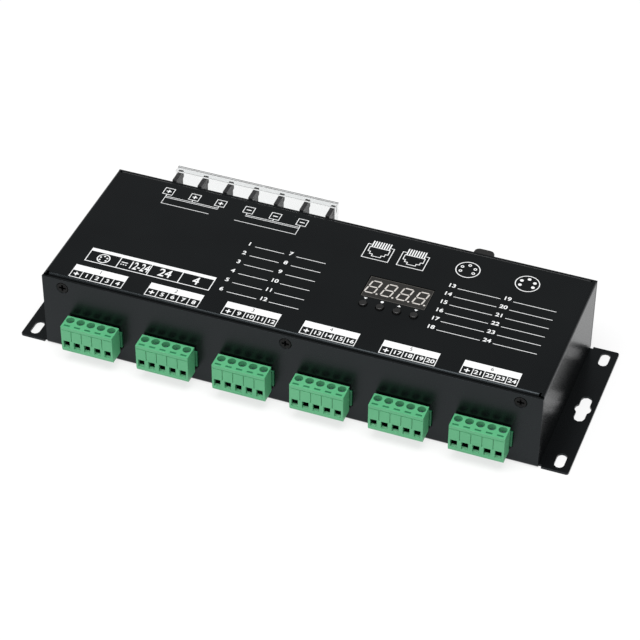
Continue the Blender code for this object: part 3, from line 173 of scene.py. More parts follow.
# Chassis tray and top cover
# Both are bent from 1.2 mm sheet steel, with their cut edges tumbled soft, and powder coated in a semi-matte black
# with a fine orange-peel grain. The cover's lips sit inside the tray's walls, where screws hold them.
powder = Finish("black_powder_coat")
peel = powder.noise(2400, 3, 0.6)
black_powder = powder.made(
    base_color=powder.between(powder.noise(30), (0.0014, 0.0016, 0.0018), (0.0026, 0.003, 0.0032)),
    roughness=powder.between(peel, 0.24, 0.31),
    specular=0.28,
    specular_tint=(0.81, 0.93, 1.0, 1),
    normal=powder.bumped(peel, 0.12, 0.0001),
)


def evaluated(obj):
    """The mesh of an object with its modifiers made, and the object taken away."""
    bpy.context.view_layer.update()
    mesh = bpy.data.meshes.new_from_object(obj.evaluated_get(bpy.context.evaluated_depsgraph_get()))
    bpy.data.objects.remove(obj)
    return mesh


def cleaned(mesh, merge=1e-4, flat=0.5):
    """Doubles merged, each flat side made one face unless flat is 0, and all faces turned outwards."""
    bm = bmesh.new()
    bm.from_mesh(mesh)
    bmesh.ops.remove_doubles(bm, verts=bm.verts, dist=merge)
    bmesh.ops.dissolve_degenerate(bm, edges=bm.edges, dist=merge)
    if flat:
        bmesh.ops.dissolve_limit(bm, angle_limit=math.radians(flat), verts=bm.verts, edges=bm.edges)
    bmesh.ops.recalc_face_normals(bm, faces=bm.faces)
    bm.to_mesh(mesh)
    bm.free()
    return mesh


def shaded(mesh, angle=40):
    """Shading that runs smoothly round bends and soft edges, and leaves each wide face flat up to its rim."""
    mesh.shade_smooth()
    limit = math.cos(math.radians(angle))
    around = {}
    for face in mesh.polygons:
        for vertex in face.vertices:
            around.setdefault(vertex, []).append((face.normal, face.area ** 2))
    corners = []
    for face in mesh.polygons:
        for vertex in face.vertices:
            near = [normal * weight for normal, weight in around[vertex] if normal.dot(face.normal) > limit]
            corners.append(sum(near, Vector()).normalized())
    mesh.normals_split_custom_set(corners)
    return mesh


def softened(mesh, width, segments=2, angle=40, clamp=True):
    """A mesh whose edges sharper than the angle are rounded over, without growing past its own box."""
    reaches = [[vertex.co[axis] for vertex in mesh.vertices] for axis in range(3)]
    spans = [(min(reach), max(reach)) for reach in reaches]
    obj = linked("blank", mesh)
    bevel = obj.modifiers.new("soft_edges", "BEVEL")
    bevel.width, bevel.segments = width, segments
    bevel.limit_method, bevel.angle_limit = "ANGLE", math.radians(angle)
    bevel.use_clamp_overlap = clamp
    mesh = cleaned(evaluated(obj), 2e-3, 0)
    for vertex in mesh.vertices:
        vertex.co = [min(max(value, low), high) for value, (low, high) in zip(vertex.co, spans)]
    return shaded(mesh, angle)


def node_copy(node):
    """A node's mesh in millimetres from the case's corner, with its loose triangles merged."""
    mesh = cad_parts[node].data.copy()
    mesh.transform(CORNER.inverted())
    return cleaned(mesh, 0.02)


def set_piece(name, mesh, finish, body, nodes=(), at=(0, 0, 0)):
    """A finished mesh set in its place in the case, riding on its body and standing for its nodes."""
    mesh.transform(CORNER @ Matrix.Translation(at))
    mesh.materials.clear()
    mesh.materials.append(finish)
    obj = linked(name, mesh)
    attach(obj, body)
    if nodes:
        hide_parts(*nodes)
    return obj


SHEET_EDGE = 0.14
for node in ("chassis_tray", "top_cover"):
    sheet = softened(node_copy(node), SHEET_EDGE, clamp=False)
    set_piece(node.replace("_", "-") + "-coated", sheet, black_powder, "case", [node])


def coat_nodes(finish, *starts):
    """Gives a finish to each node that is shown as it was packed and whose name starts so."""
    for name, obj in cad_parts.items():
        if name.startswith(starts):
            obj.data.materials.clear()
            obj.data.materials.append(finish)


# Print on the cover
# White screen print, a thin even layer of ink on the powder coat. It has a legend over each output plug, the polarity
# boxes of the DC input with their bus bars, the jack and connector outlines, the button marks, a row of ratings and
# two numbered lists.
COVER_TOP = cover_high.z / MM
INK = 0.04
LINE = 0.34
ink = Finish("white_ink")
white_ink = ink.made(
    base_color=ink.between(ink.noise(700, 2), (0.72, 0.73, 0.73), (0.84, 0.85, 0.85)),
    roughness=0.42,
    normal=ink.bumped(ink.noise(2400, 3), 0.1, 0.0001),
)
black = Finish("black_ink")
black_ink = black.made(
    base_color=black.between(black.noise(700), (0.02, 0.02, 0.02), (0.035, 0.035, 0.035)), roughness=0.5
)


def slab(outline, low, high, along="Z"):
    """A closed outline drawn out along an axis, from low to high."""
    turn = {
        "X": lambda u, v, w: (w, u, v),
        "Y": lambda u, v, w: (u, w, v),
        "Z": lambda u, v, w: (u, v, w),
    }[along]
    bm = bmesh.new()
    foot = [bm.verts.new(turn(u, v, low)) for u, v in outline]
    head = [bm.verts.new(turn(u, v, high)) for u, v in outline]
    bm.faces.new(foot)
    bm.faces.new(head)
    for i in range(len(outline)):
        bm.faces.new((foot[i - 1], foot[i], head[i], head[i - 1]))
    bmesh.ops.recalc_face_normals(bm, faces=bm.faces)
    mesh = bpy.data.meshes.new("slab")
    bm.to_mesh(mesh)
    bm.free()
    return mesh


def gathered(meshes):
    """Several meshes as one."""
    bm = bmesh.new()
    for mesh in meshes:
        bm.from_mesh(mesh)
    whole = bpy.data.meshes.new("gathered")
    bm.to_mesh(whole)
    bm.free()
    return whole


def moved(mesh, x=0.0, y=0.0, z=0.0):
    copy = mesh.copy()
    copy.transform(Matrix.Translation((x, y, z)))
    return copy


def rectangle(x0, y0, x1, y1):
    return [(x0, y0), (x1, y0), (x1, y1), (x0, y1)]


def circle(x, y, radius, sides=24):
    turns = [math.tau * i / sides for i in range(sides)]
    return [(x + radius * math.cos(turn), y + radius * math.sin(turn)) for turn in turns]


def printed(outline):
    return slab(outline, 0, INK)


def line(points, width=LINE, closed=False):
    """A printed line of even width along its points, mitred where it turns."""
    count = len(points)
    sides = ([], [])
    for i, point in enumerate(points):
        here = Vector(point)
        before = Vector(points[i - 1]) if i or closed else None
        after = Vector(points[(i + 1) % count]) if i < count - 1 or closed else None
        first = (here - before).normalized() if before is not None else (after - here).normalized()
        last = (after - here).normalized() if after is not None else first
        across = Vector((-first.y - last.y, first.x + last.x)).normalized()
        reach = width / 2 / max(0.3, across.dot(Vector((-first.y, first.x))))
        sides[0].append(here + across * reach)
        sides[1].append(here - across * reach)
    if not closed:
        return printed([tuple(p) for p in sides[0] + sides[1][::-1]])
    bm = bmesh.new()
    rings = [[bm.verts.new((p.x, p.y, z)) for p in side] for side in sides for z in (0, INK)]
    for a, b in ((0, 1), (1, 3), (3, 2), (2, 0)):
        for i in range(count):
            bm.faces.new((rings[a][i - 1], rings[a][i], rings[b][i], rings[b][i - 1]))
    bmesh.ops.recalc_face_normals(bm, faces=bm.faces)
    mesh = bpy.data.meshes.new("closed_line")
    bm.to_mesh(mesh)
    bm.free()
    return mesh


def frame_line(x0, y0, x1, y1, width=LINE):
    return line(rectangle(x0, y0, x1, y1), width, closed=True)


def boxes(x0, y0, x1, y1, count, width=LINE):
    """A row of boxes with shared sides: two rails, and uprights that stand between them."""
    step, half = (x1 - x0) / count, width / 2
    rails = [printed(rectangle(x0 - half, y - half, x1 + half, y + half)) for y in (y0, y1)]
    uprights = in_row(printed(rectangle(-half, y0 + half, half, y1 - half)), count + 1, (step, 0, 0), white_ink)
    return gathered(rails + [moved(uprights, (x0 + x1) / 2)])


DIGIT_SHARE = 0.73


def numeral(text, x, y, height, bold=0.02, wide=1.0):
    """A plain printed number, centred on its place. A digit takes up only its share of the type's height."""
    curve = bpy.data.curves.new("numeral", "FONT")
    curve.body = text
    curve.align_x = curve.align_y = "CENTER"
    curve.size = height / DIGIT_SHARE
    curve.offset = bold * height
    curve.extrude = INK / 2
    mesh = evaluated(linked("numeral", curve))
    mesh.transform(Matrix.Translation((x, y, INK / 2)) @ Matrix.Diagonal((wide, 1, 1, 1)))
    return cleaned(mesh, 1e-5)


def plus(x, y, reach, width):
    a, b = reach, width / 2
    right_half = ((b, -a), (b, -b), (a, -b), (a, b), (b, b), (b, a))
    left_half = ((-b, a), (-b, b), (-a, b), (-a, -b), (-b, -b), (-b, -a))
    return printed([(x + u, y + v) for u, v in right_half + left_half])


def row_tree(name):
    """Node group that sets copies of a piece in a straight row, centred on the piece's own place."""
    tree = bpy.data.node_groups.new(name, "GeometryNodeTree")
    face = tree.interface
    face.new_socket("Piece", in_out="INPUT", socket_type="NodeSocketGeometry")
    face.new_socket("Count", in_out="INPUT", socket_type="NodeSocketInt")
    face.new_socket("Step", in_out="INPUT", socket_type="NodeSocketVector")
    face.new_socket("Finish", in_out="INPUT", socket_type="NodeSocketMaterial")
    face.new_socket("Row", in_out="OUTPUT", socket_type="NodeSocketGeometry")
    given, out = tree.nodes.new("NodeGroupInput"), tree.nodes.new("NodeGroupOutput")
    start = tree.nodes.new("ShaderNodeVectorMath")
    start.operation = "SCALE"
    half = tree.nodes.new("ShaderNodeMath")
    half.operation = "MULTIPLY_ADD"
    half.inputs[1].default_value, half.inputs[2].default_value = -0.5, 0.5
    places = tree.nodes.new("GeometryNodeMeshLine")
    copies = tree.nodes.new("GeometryNodeInstanceOnPoints")
    solid = tree.nodes.new("GeometryNodeRealizeInstances")
    coat = tree.nodes.new("GeometryNodeSetMaterial")
    for source, target in (
        (given.outputs["Count"], half.inputs[0]),
        (half.outputs[0], start.inputs["Scale"]),
        (given.outputs["Step"], start.inputs[0]),
        (start.outputs[0], places.inputs["Start Location"]),
        (given.outputs["Count"], places.inputs["Count"]),
        (given.outputs["Step"], places.inputs["Offset"]),
        (places.outputs["Mesh"], copies.inputs["Points"]),
        (given.outputs["Piece"], copies.inputs["Instance"]),
        (copies.outputs["Instances"], solid.inputs["Geometry"]),
        (solid.outputs["Geometry"], coat.inputs["Geometry"]),
        (given.outputs["Finish"], coat.inputs["Material"]),
        (coat.outputs["Geometry"], out.inputs["Row"]),
    ):
        tree.links.new(source, target)
    return tree


ROW = row_tree("row_of_copies")


def in_row(mesh, count, step, finish=None):
    """Copies of a mesh in a row, made by the node group. Rows of cuts have no finish."""
    obj = linked("row", mesh.copy())
    row = obj.modifiers.new("row", "NODES")
    row.node_group = ROW
    for item in ROW.interface.items_tree:
        if item.in_out == "INPUT" and item.name != "Piece":
            row[item.identifier] = {"Count": count, "Step": step, "Finish": finish}[item.name]
    return evaluated(obj)


OUTPUTS, WAYS = 6, 5
WAY_PITCH = 5.08
to_case = CORNER.inverted()
plug_boxes = [[to_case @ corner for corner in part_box(f"output_plug_{i + 1}")] for i in range(OUTPUTS)]
plug_x = [(low.x + high.x) / 2 for low, high in plug_boxes]
PLUG_WIDTH = WAYS * WAY_PITCH

# One output legend is a white bar over five boxes. The bar carries the output's number, and the boxes a plus and
# four channel numbers.
LEGEND_LOW, LEGEND_BOXES, LEGEND_HIGH, LEGEND_LINE = 3.1, 8.05, 11.9, 0.36
NUMBER_HEIGHT, NUMBER_BOLD, NUMBER_WIDE, BAR_NUMBER_HEIGHT = 2.5, 0.028, 1.12, 2.3
PLUS_REACH, PLUS_WIDTH = 1.25, 0.62
half_legend, edge = PLUG_WIDTH / 2, LEGEND_LINE / 2
legend = gathered([
    boxes(-half_legend, LEGEND_LOW, half_legend, LEGEND_BOXES, WAYS, LEGEND_LINE),
    printed(rectangle(-half_legend - edge, LEGEND_BOXES + edge, half_legend + edge, LEGEND_HIGH)),
])
pitch = (plug_x[-1] - plug_x[0]) / (OUTPUTS - 1)
middle = (plug_x[0] + plug_x[-1]) / 2
prints = [moved(in_row(legend, OUTPUTS, (pitch, 0, 0), white_ink), middle)]
bar_numbers = []
box_y = (LEGEND_LOW + LEGEND_BOXES) / 2
for index, x in enumerate(plug_x):
    bar_numbers.append(numeral(str(index + 1), x, (LEGEND_BOXES + LEGEND_HIGH) / 2, BAR_NUMBER_HEIGHT, 0.0))
    prints.append(plus(x - 2 * WAY_PITCH, box_y, PLUS_REACH, PLUS_WIDTH))
    for way in range(1, WAYS):
        channel = index * (WAYS - 1) + way
        way_x = x + (way - 2) * WAY_PITCH
        prints.append(numeral(str(channel), way_x, box_y, NUMBER_HEIGHT, NUMBER_BOLD, NUMBER_WIDE))

# The DC input's boxes stand before the barrier strip's bays, three plus and three minus, each with a stem to its
# double bus line.
INPUT_BOXES = (29.6, 42.8, 55.9, 70.2, 83.4, 96.7)
INPUT_BOX_Y, INPUT_BOX, INPUT_SIGN, INPUT_PLUS, INPUT_MINUS = 77.0, 4.7, 1.2, 0.55, 0.28
BUS_HIGH, BUS_LOW, BUS_FOOT, BUS_LINE = 73.2, 72.3, 67.6, 0.28
half_box, half_line = INPUT_BOX / 2, LINE / 2
stem_foot, stem_head = BUS_HIGH + BUS_LINE / 2, INPUT_BOX_Y - half_box - half_line
for index, x in enumerate(INPUT_BOXES):
    prints.append(frame_line(x - half_box, INPUT_BOX_Y - half_box, x + half_box, INPUT_BOX_Y + half_box))
    if index < 3:
        prints.append(plus(x, INPUT_BOX_Y, INPUT_SIGN, INPUT_PLUS))
    else:
        bar = rectangle(x - INPUT_SIGN, INPUT_BOX_Y - INPUT_MINUS, x + INPUT_SIGN, INPUT_BOX_Y + INPUT_MINUS)
        prints.append(printed(bar))
    prints.append(printed(rectangle(x - half_line, stem_foot, x + half_line, stem_head)))
for outer, inner, lower in ((29.5, 56.2, 53.5), (96.8, 70.0, 66.5)):
    bracket = [(inner, BUS_HIGH), (outer, BUS_HIGH), (outer, BUS_FOOT), (lower, BUS_FOOT)]
    prints.append(line(bracket, BUS_LINE))
    prints.append(line([(inner, BUS_LOW), (outer, BUS_LOW)], BUS_LINE))

# Jack outlines: a box with the plug's stepped mouth in it and eight contacts standing on top.
JACK_FOOT, JACK_HEAD, JACK_WIDTH, JACK_LINE, SHOULDER = 63.3, 73.4, 12.6, 0.36, 1.6
JACK_CONTACTS, CONTACT_PITCH, CONTACT_HALF, CONTACT_FOOT, CONTACT_HEAD = 8, 1.18, 0.3, 8.6, 13.0
MOUTH_STEPS = [(1.5, 8.4), (1.5, 5.0), (2.7, 5.0), (2.7, 3.4), (4.2, 3.4), (4.2, 2.0)]
contact = printed(rectangle(-CONTACT_HALF, CONTACT_FOOT, CONTACT_HALF, CONTACT_HEAD))
for left in (130.7, 147.6):
    right = left + JACK_WIDTH
    outline = [
        (left + SHOULDER, JACK_HEAD), (left, JACK_HEAD), (left, JACK_FOOT),
        (right, JACK_FOOT), (right, JACK_HEAD), (right - SHOULDER, JACK_HEAD),
    ]
    prints.append(line(outline, JACK_LINE))
    mouth = [(left + u, JACK_FOOT + v) for u, v in MOUTH_STEPS]
    mouth += [(right - u, JACK_FOOT + v) for u, v in reversed(MOUTH_STEPS)]
    prints.append(line(mouth, JACK_LINE, closed=True))
    contacts = in_row(contact, JACK_CONTACTS, (CONTACT_PITCH, 0, 0), white_ink)
    prints.append(moved(contacts, left + JACK_WIDTH / 2, JACK_FOOT))

# Connector outlines: a ring with the five contacts, hollow for the socket and solid for the pins.
RING_Y, RING_RADIUS, RING_LINE, SOLID_DOT, HOLLOW_DOT = 71.3, 5.5, 0.42, 0.85, 0.62
RING_DOTS = ((0, 3.35), (-3.05, 1.45), (3.05, 1.45), (-3.05, -1.7), (3.05, -1.7))
for ring_x, solid in ((179.2, False), (207.3, True)):
    prints.append(line(circle(ring_x, RING_Y, RING_RADIUS, 40), RING_LINE, closed=True))
    for dx, dy in RING_DOTS:
        x, y = ring_x + dx, RING_Y + dy
        if solid:
            prints.append(printed(circle(x, y, SOLID_DOT, 14)))
        else:
            prints.append(line(circle(x, y, HOLLOW_DOT, 14), RING_LINE, closed=True))

# Button marks: an arrow down, a dot, an arrow up and an arrow down.
MARK_Y, MARK_HALF, MARK_FOOT, MARK_TIP, MARK_DOT = 35.85, 0.85, 0.5, 0.65, 0.72
for x, turn in ((142.6, -1), (150.5, 0), (158.5, 1), (166.4, -1)):
    foot = MARK_Y - turn * MARK_FOOT
    arrow = [(x - MARK_HALF, foot), (x + MARK_HALF, foot), (x, MARK_Y + turn * MARK_TIP)]
    prints.append(printed(arrow if turn else circle(x, MARK_Y, MARK_DOT, 16)))

# A row of four boxes under a solid bar gives the ratings in plain signs and numbers: a connector, the supply with
# the sign for direct current, the channels and the current of each.
RATINGS, RATINGS_LEFT, RATINGS_RIGHT, RATINGS_FOOT, RATINGS_HEAD = 4, 14.2, 74.9, 15.9, 23.7
RATINGS_LINE, RATINGS_BAR, RATING_HEIGHT, RATING_BOLD = 0.42, 1.8, 5.4, 0.015
SIGN_RADIUS, SIGN_LINE, SIGN_DOT = 2.9, 0.5, 0.48
SIGN_DOTS = ((0, 1.7), (-1.6, 0.6), (1.6, 0.6), (-1.5, -1.2), (1.5, -1.2))
DIRECT_PLACE, DIRECT_HALF, DIRECT_LINE, DIRECT_GAP = 2.6, 1.5, 0.55, 0.5
DASH_HALF, DASH_PITCH = 0.32, 1.18
box_width, edge = (RATINGS_RIGHT - RATINGS_LEFT) / RATINGS, RATINGS_LINE / 2
prints.append(boxes(RATINGS_LEFT, RATINGS_FOOT, RATINGS_RIGHT, RATINGS_HEAD, RATINGS, RATINGS_LINE))
bar = rectangle(RATINGS_LEFT - edge, RATINGS_HEAD + edge, RATINGS_RIGHT + edge, RATINGS_HEAD + RATINGS_BAR)
prints.append(printed(bar))
sign_y = (RATINGS_FOOT + RATINGS_HEAD) / 2
sign_x = RATINGS_LEFT + box_width / 2
prints.append(line(circle(sign_x, sign_y, SIGN_RADIUS, 28), SIGN_LINE, closed=True))
for dx, dy in SIGN_DOTS:
    prints.append(printed(circle(sign_x + dx, sign_y + dy, SIGN_DOT, 10)))
sign_x = RATINGS_LEFT + box_width + DIRECT_PLACE
bar_foot, bar_head = sign_y + DIRECT_GAP, sign_y + DIRECT_GAP + DIRECT_LINE
prints.append(printed(rectangle(sign_x - DIRECT_HALF, bar_foot, sign_x + DIRECT_HALF, bar_head)))
dash = printed(rectangle(-DASH_HALF, -DIRECT_GAP - DIRECT_LINE, DASH_HALF, -DIRECT_GAP))
prints.append(moved(in_row(dash, 3, (DASH_PITCH, 0, 0), white_ink), sign_x, sign_y))
for place, text, wide in ((1.66, "12-24", 0.58), (2.5, "24", 0.85), (3.5, "4", 0.85)):
    prints.append(numeral(text, RATINGS_LEFT + place * box_width, sign_y, RATING_HEIGHT, RATING_BOLD, wide))

# Two numbered lists, in two columns each, leave a ruled line for each of the 24 channels.
LIST_ROWS, LIST_NUMBER_WIDE, RULE_GAP, RULE_LOW, RULE_HIGH = 6, 1.1, 3.0, 1.25, 0.95
for first, left, width, head, spacing in ((1, 80.0, 20.2, 53.5, 6.9), (13, 176.0, 26.0, 58.0, 6.1)):
    for cell in range(2 * LIST_ROWS):
        column, row = divmod(cell, LIST_ROWS)
        x, y = left + column * width, head - row * spacing
        prints.append(numeral(str(first + cell), x, y, NUMBER_HEIGHT, NUMBER_BOLD, LIST_NUMBER_WIDE))
        prints.append(printed(rectangle(x + RULE_GAP, y - RULE_LOW, x + width - RULE_GAP, y - RULE_HIGH)))

set_piece("cover-print", gathered(prints), white_ink, "case", at=(0, 0, COVER_TOP))
bar_print = gathered(bar_numbers)
set_piece("cover-print-numbers", bar_print, black_ink, "case", at=(0, 0, COVER_TOP + INK))

# Case screws
# Six blackened M3 countersunk screws with a cross recess, three through each long wall of the tray into the cover's
# lugs. The same screws hold the data connectors.
steel = Finish("blackened_steel")
black_steel = steel.made(
    base_color=steel.between(steel.noise(900, 3), (0.0022, 0.0022, 0.0023), (0.0048, 0.0048, 0.005)),
    roughness=steel.between(steel.noise(1500, 2), 0.26, 0.36),
    specular=0.14,
)


def lathed(profile, sides=24, along="Z"):
    """A turned piece from its (radius, height) points, from the top of the axis to its foot."""
    bm = bmesh.new()
    rings = []
    for radius, height in profile:
        places = circle(0, 0, radius, sides) if radius else [(0, 0)]
        rings.append([bm.verts.new((x, y, height)) for x, y in places])
    for upper, lower in zip(rings, rings[1:]):
        for i in range(sides):
            around = [ring[(i + step) % len(ring)] for ring, step in ((upper, 0), (upper, 1), (lower, 1), (lower, 0))]
            bm.faces.new(dict.fromkeys(around))
    bmesh.ops.recalc_face_normals(bm, faces=bm.faces)
    mesh = bpy.data.meshes.new("lathed")
    bm.to_mesh(mesh)
    bm.free()
    if along == "Y":
        mesh.transform(Matrix.Rotation(-math.pi / 2, 4, "X"))
    return mesh


def combined(mesh, others, operation="DIFFERENCE"):
    """A mesh with others cut from it or joined to it, one after another."""
    blank = linked("blank", mesh.copy())
    tools = [linked("tool", other) for other in others]
    for tool in tools:
        step = blank.modifiers.new("step", "BOOLEAN")
        step.operation, step.solver, step.object = operation, "EXACT", tool
    result = evaluated(blank)
    for tool in tools:
        bpy.data.objects.remove(tool)
    return cleaned(result)


def cross_recess(length, width, depth, top):
    """A Phillips recess: two tapered slots across each other."""
    arm, tip, half = length / 2, length / 3, width / 2
    taper = [(-arm, top + 0.2), (arm, top + 0.2), (arm, top), (tip, top - depth), (-tip, top - depth), (-arm, top)]
    first = slab(taper, -half, half, "Y")
    second = first.copy()
    second.transform(Matrix.Rotation(math.pi / 2, 4, "Z"))
    return [first, second]


SCREW_HEAD, SCREW_SHANK, SCREW_LENGTH = 2.65, 1.5, 5.8
RECESS_LENGTH, RECESS_WIDTH, RECESS_DEPTH = 3.4, 0.95, 1.5


def flat_head(head, shank, length):
    """A countersunk screw along Z, with its face at 0."""
    rim, taper = 0.15, head - shank
    top = [(0, 0), (head - 0.12, 0), (head, -0.07), (head, -rim)]
    foot = [(shank, -rim - taper), (shank, -length), (0, -length)]
    recess = cross_recess(RECESS_LENGTH, RECESS_WIDTH, RECESS_DEPTH, 0)
    return softened(combined(lathed(top + foot), recess), 0.05, 1)


def node_middle(node):
    """The middle, the low corner and the high corner of a node's box, in millimetres from the case's corner."""
    low, high = (to_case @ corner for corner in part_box(node))
    return (low + high) / 2, low, high


screw = flat_head(SCREW_HEAD, SCREW_SHANK, SCREW_LENGTH)
for wall, turn, first in (("front", 1, 1), ("back", -1, 4)):
    nodes = [f"case_screw_{first + i}" for i in range(3)]
    mesh = screw.copy()
    mesh.transform(Matrix.Rotation(turn * math.pi / 2, 4, "X"))
    centres = [node_middle(node)[0] for node in nodes]
    face = node_middle(nodes[0])[1 if wall == "front" else 2].y
    spacing = centres[1].x - centres[0].x
    at = (centres[1].x, face, centres[1].z)
    row = in_row(mesh, len(nodes), (spacing, 0, 0), black_steel)
    set_piece(f"{wall}-case-screws", row, black_steel, "case", nodes, at)

# Output headers
# Moulded green shrouds, soldered to the main board, whose mouths come through the front wall. Each holds five
# square tinned pins.
header_green = Finish("header_green")
dark_green = header_green.made(
    base_color=header_green.between(header_green.noise(60), (0.014, 0.13, 0.056), (0.021, 0.165, 0.072)),
    roughness=header_green.between(header_green.noise(900), 0.36, 0.46),
)
tin = Finish("tinned_metal")
scuff = tin.noise(1500, 4, 0.7)
tinned = tin.made(
    base_color=tin.between(scuff, (0.55, 0.55, 0.54), (0.75, 0.75, 0.73)),
    roughness=tin.between(scuff, 0.22, 0.4),
    metallic=1.0,
)


def box(low, high):
    return slab(rectangle(low[0], low[1], high[0], high[1]), low[2], high[2])


HEADER_END, HEADER_FLOOR, HEADER_ROOF, HEADER_BACK = 1.0, 1.3, 0.9, 2.0
PIN_HALF, PIN_FRONT, PIN_RISE, PIN_ROOT = 0.5, 1.7, 0.2, 1.0
centre, low, high = node_middle("output_header_1")
half, depth, height = (high.x - low.x) / 2, high.y - low.y, high.z - low.z
mouth = box((HEADER_END - half, -1, HEADER_FLOOR), (half - HEADER_END, depth - HEADER_BACK, height - HEADER_ROOF))
header = softened(combined(box((-half, 0, 0), (half, depth, height)), [mouth]), 0.18)
pin_z = height / 2 + PIN_RISE
pin = box((-PIN_HALF, PIN_FRONT, pin_z - PIN_HALF), (PIN_HALF, depth - PIN_ROOT, pin_z + PIN_HALF))
pins = in_row(softened(pin, 0.12, 1), WAYS, (WAY_PITCH, 0, 0), tinned)
for index in range(OUTPUTS):
    node = f"output_header_{index + 1}"
    centre, low, high = node_middle(node)
    at = (centre.x, low.y, low.z)
    set_piece(f"output-header-{index + 1}", header.copy(), dark_green, "case", [node], at)
    set_piece(f"output-header-pins-{index + 1}", pins.copy(), tinned, "case", (), at)

# Output plugs
# Each is one green moulding of five ways, with a round well, a pry slot and a square ramped wire entry to each way,
# and a tongue behind it that goes into the header. In it are plated clamp screws, their zinc darkened as painted
# shade, wire cages of blackened steel, whose black partly paints the shade in the entries, and dark green fills in
# the pry slots, which are painted shade.
plug_plastic = Finish("plug_green")
flow = plug_plastic.noise(45, 2)
mint_green = plug_plastic.made(
    base_color=plug_plastic.between(flow, (0.078, 0.36, 0.168), (0.098, 0.395, 0.188)),
    roughness=plug_plastic.between(plug_plastic.noise(900, 2), 0.38, 0.5),
    normal=plug_plastic.bumped(plug_plastic.noise(1800, 2), 0.08, 0.0001),
)
# The clamp screws' zinc is darkened, with a blue tint: painted shade for the screws deep in their wells.
zinc = Finish("clamp_screw_zinc_painted_shade")
worn = zinc.noise(1600, 4, 0.7)
well_shaded_zinc = zinc.made(
    base_color=zinc.between(worn, (0.15, 0.22, 0.24), (0.32, 0.42, 0.45)),
    roughness=zinc.between(worn, 0.2, 0.36),
    metallic=1.0,
)
low, high = plug_boxes[0]
PLUG_HEIGHT = high.z - low.z
PLUG_FRONT, PLUG_BACK = low.y, -0.9
FOOT_HEIGHT, FOOT_DEPTH = 1.5, 0.5
WELL_Y, WELL_RADIUS, WELL_DEPTH = -3.55, 1.95, 3.2
CLAMP_DEPTH, CLAMP_RADIUS, CLAMP_THICK, CLAMP_SLOT, CLAMP_TURN = 1.95, 1.6, 1.2, 0.3, 0.5
PRY_FRONT, PRY_BACK, PRY_HALF, PRY_DEPTH, PRY_SHADE_SINK = -8.0, -7.0, 1.45, 1.8, 0.16
MOUTH_FOOT, MOUTH_TOP, MOUTH_WIDTH, HOLE_FOOT, HOLE_DEPTH = 2.15, 6.3, 3.1, 2.8, 6.0
TONGUE_HALF, TONGUE_FOOT, TONGUE_HEIGHT, TONGUE_END = 12.4, 4.5, 5.8, 6.5
SOCKET_HALF, SOCKET_FOOT, SOCKET_TOP = 0.8, 2.1, 3.7
PANEL_LOW, PANEL_HIGH = MOUTH_TOP + 0.35, PLUG_HEIGHT - 2.0
GROOVE_HALF, GROOVE_DEPTH, LEDGE_END, LEDGE_DEPTH, LEDGE_HEIGHT = 0.17, 0.4, 0.3, 0.25, 0.3
CAGE_PLAY, CAGE_WALL, CAGE_FRONT = 0.04, 0.2, 1.4
side_view = [
    (PLUG_BACK, 0), (PLUG_BACK, PLUG_HEIGHT), (PLUG_FRONT, PLUG_HEIGHT),
    (PLUG_FRONT, FOOT_HEIGHT), (PLUG_FRONT + FOOT_DEPTH, 0),
]
half_plug = PLUG_WIDTH / 2
block = slab(side_view, -half_plug, half_plug, "X")
tongue = box((-TONGUE_HALF, PLUG_BACK - 2, TONGUE_FOOT), (TONGUE_HALF, TONGUE_END, TONGUE_FOOT + TONGUE_HEIGHT))
well = lathed([(0, 1), (WELL_RADIUS, 1), (WELL_RADIUS, -WELL_DEPTH), (0, -WELL_DEPTH)], 28)
well.transform(Matrix.Translation((0, WELL_Y, PLUG_HEIGHT)))
slot = box((-PRY_HALF, PRY_FRONT, PLUG_HEIGHT - PRY_DEPTH), (PRY_HALF, PRY_BACK, PLUG_HEIGHT + 1))
entry_view = [
    (PLUG_FRONT - 1, MOUTH_FOOT), (PLUG_FRONT, MOUTH_FOOT), (PLUG_FRONT + 0.7, MOUTH_FOOT + 0.1),
    (PLUG_FRONT + 1.3, HOLE_FOOT), (PLUG_FRONT + HOLE_DEPTH, HOLE_FOOT),
    (PLUG_FRONT + HOLE_DEPTH, MOUTH_TOP), (PLUG_FRONT - 1, MOUTH_TOP),
]
entry = slab(entry_view, -MOUTH_WIDTH / 2, MOUTH_WIDTH / 2, "X")
groove = box((-GROOVE_HALF, PLUG_FRONT - 1, PANEL_LOW), (GROOVE_HALF, PLUG_FRONT + GROOVE_DEPTH, PANEL_HIGH))
ledge = box(
    (LEDGE_END - half_plug, PLUG_FRONT - 1, PANEL_HIGH),
    (half_plug - LEDGE_END, PLUG_FRONT + LEDGE_DEPTH, PANEL_HIGH + LEDGE_HEIGHT),
)
socket = box((-SOCKET_HALF, 0.5, SOCKET_FOOT + TONGUE_FOOT), (SOCKET_HALF, TONGUE_END + 1, SOCKET_TOP + TONGUE_FOOT))
step = (WAY_PITCH, 0, 0)
rows = [in_row(cut, WAYS, step) for cut in (well, slot, entry)]
rows += [in_row(groove, WAYS - 1, step), ledge, in_row(socket, WAYS, step)]
moulding = softened(combined(combined(block, [tongue], "UNION"), rows), 0.1, 2, 35)
rim_and_side = [(CLAMP_RADIUS - 0.3, 0), (CLAMP_RADIUS, -0.3), (CLAMP_RADIUS, -CLAMP_THICK)]
clamp = lathed([(0, 0), *rim_and_side, (0, -CLAMP_THICK)])
clamp = softened(combined(clamp, [box((-2, -CLAMP_SLOT, -CLAMP_THICK / 2), (2, CLAMP_SLOT, 1))]), 0.05, 1)
clamp.transform(Matrix.Translation((0, WELL_Y, PLUG_HEIGHT - CLAMP_DEPTH)) @ Matrix.Rotation(CLAMP_TURN, 4, "Z"))
clamps = in_row(clamp, WAYS, step, well_shaded_zinc)
# The wire cages are real, but their blackened steel also paints the shade inside the wire entries.
cage_half, cage_hole = MOUTH_WIDTH / 2 - CAGE_PLAY, 1.3
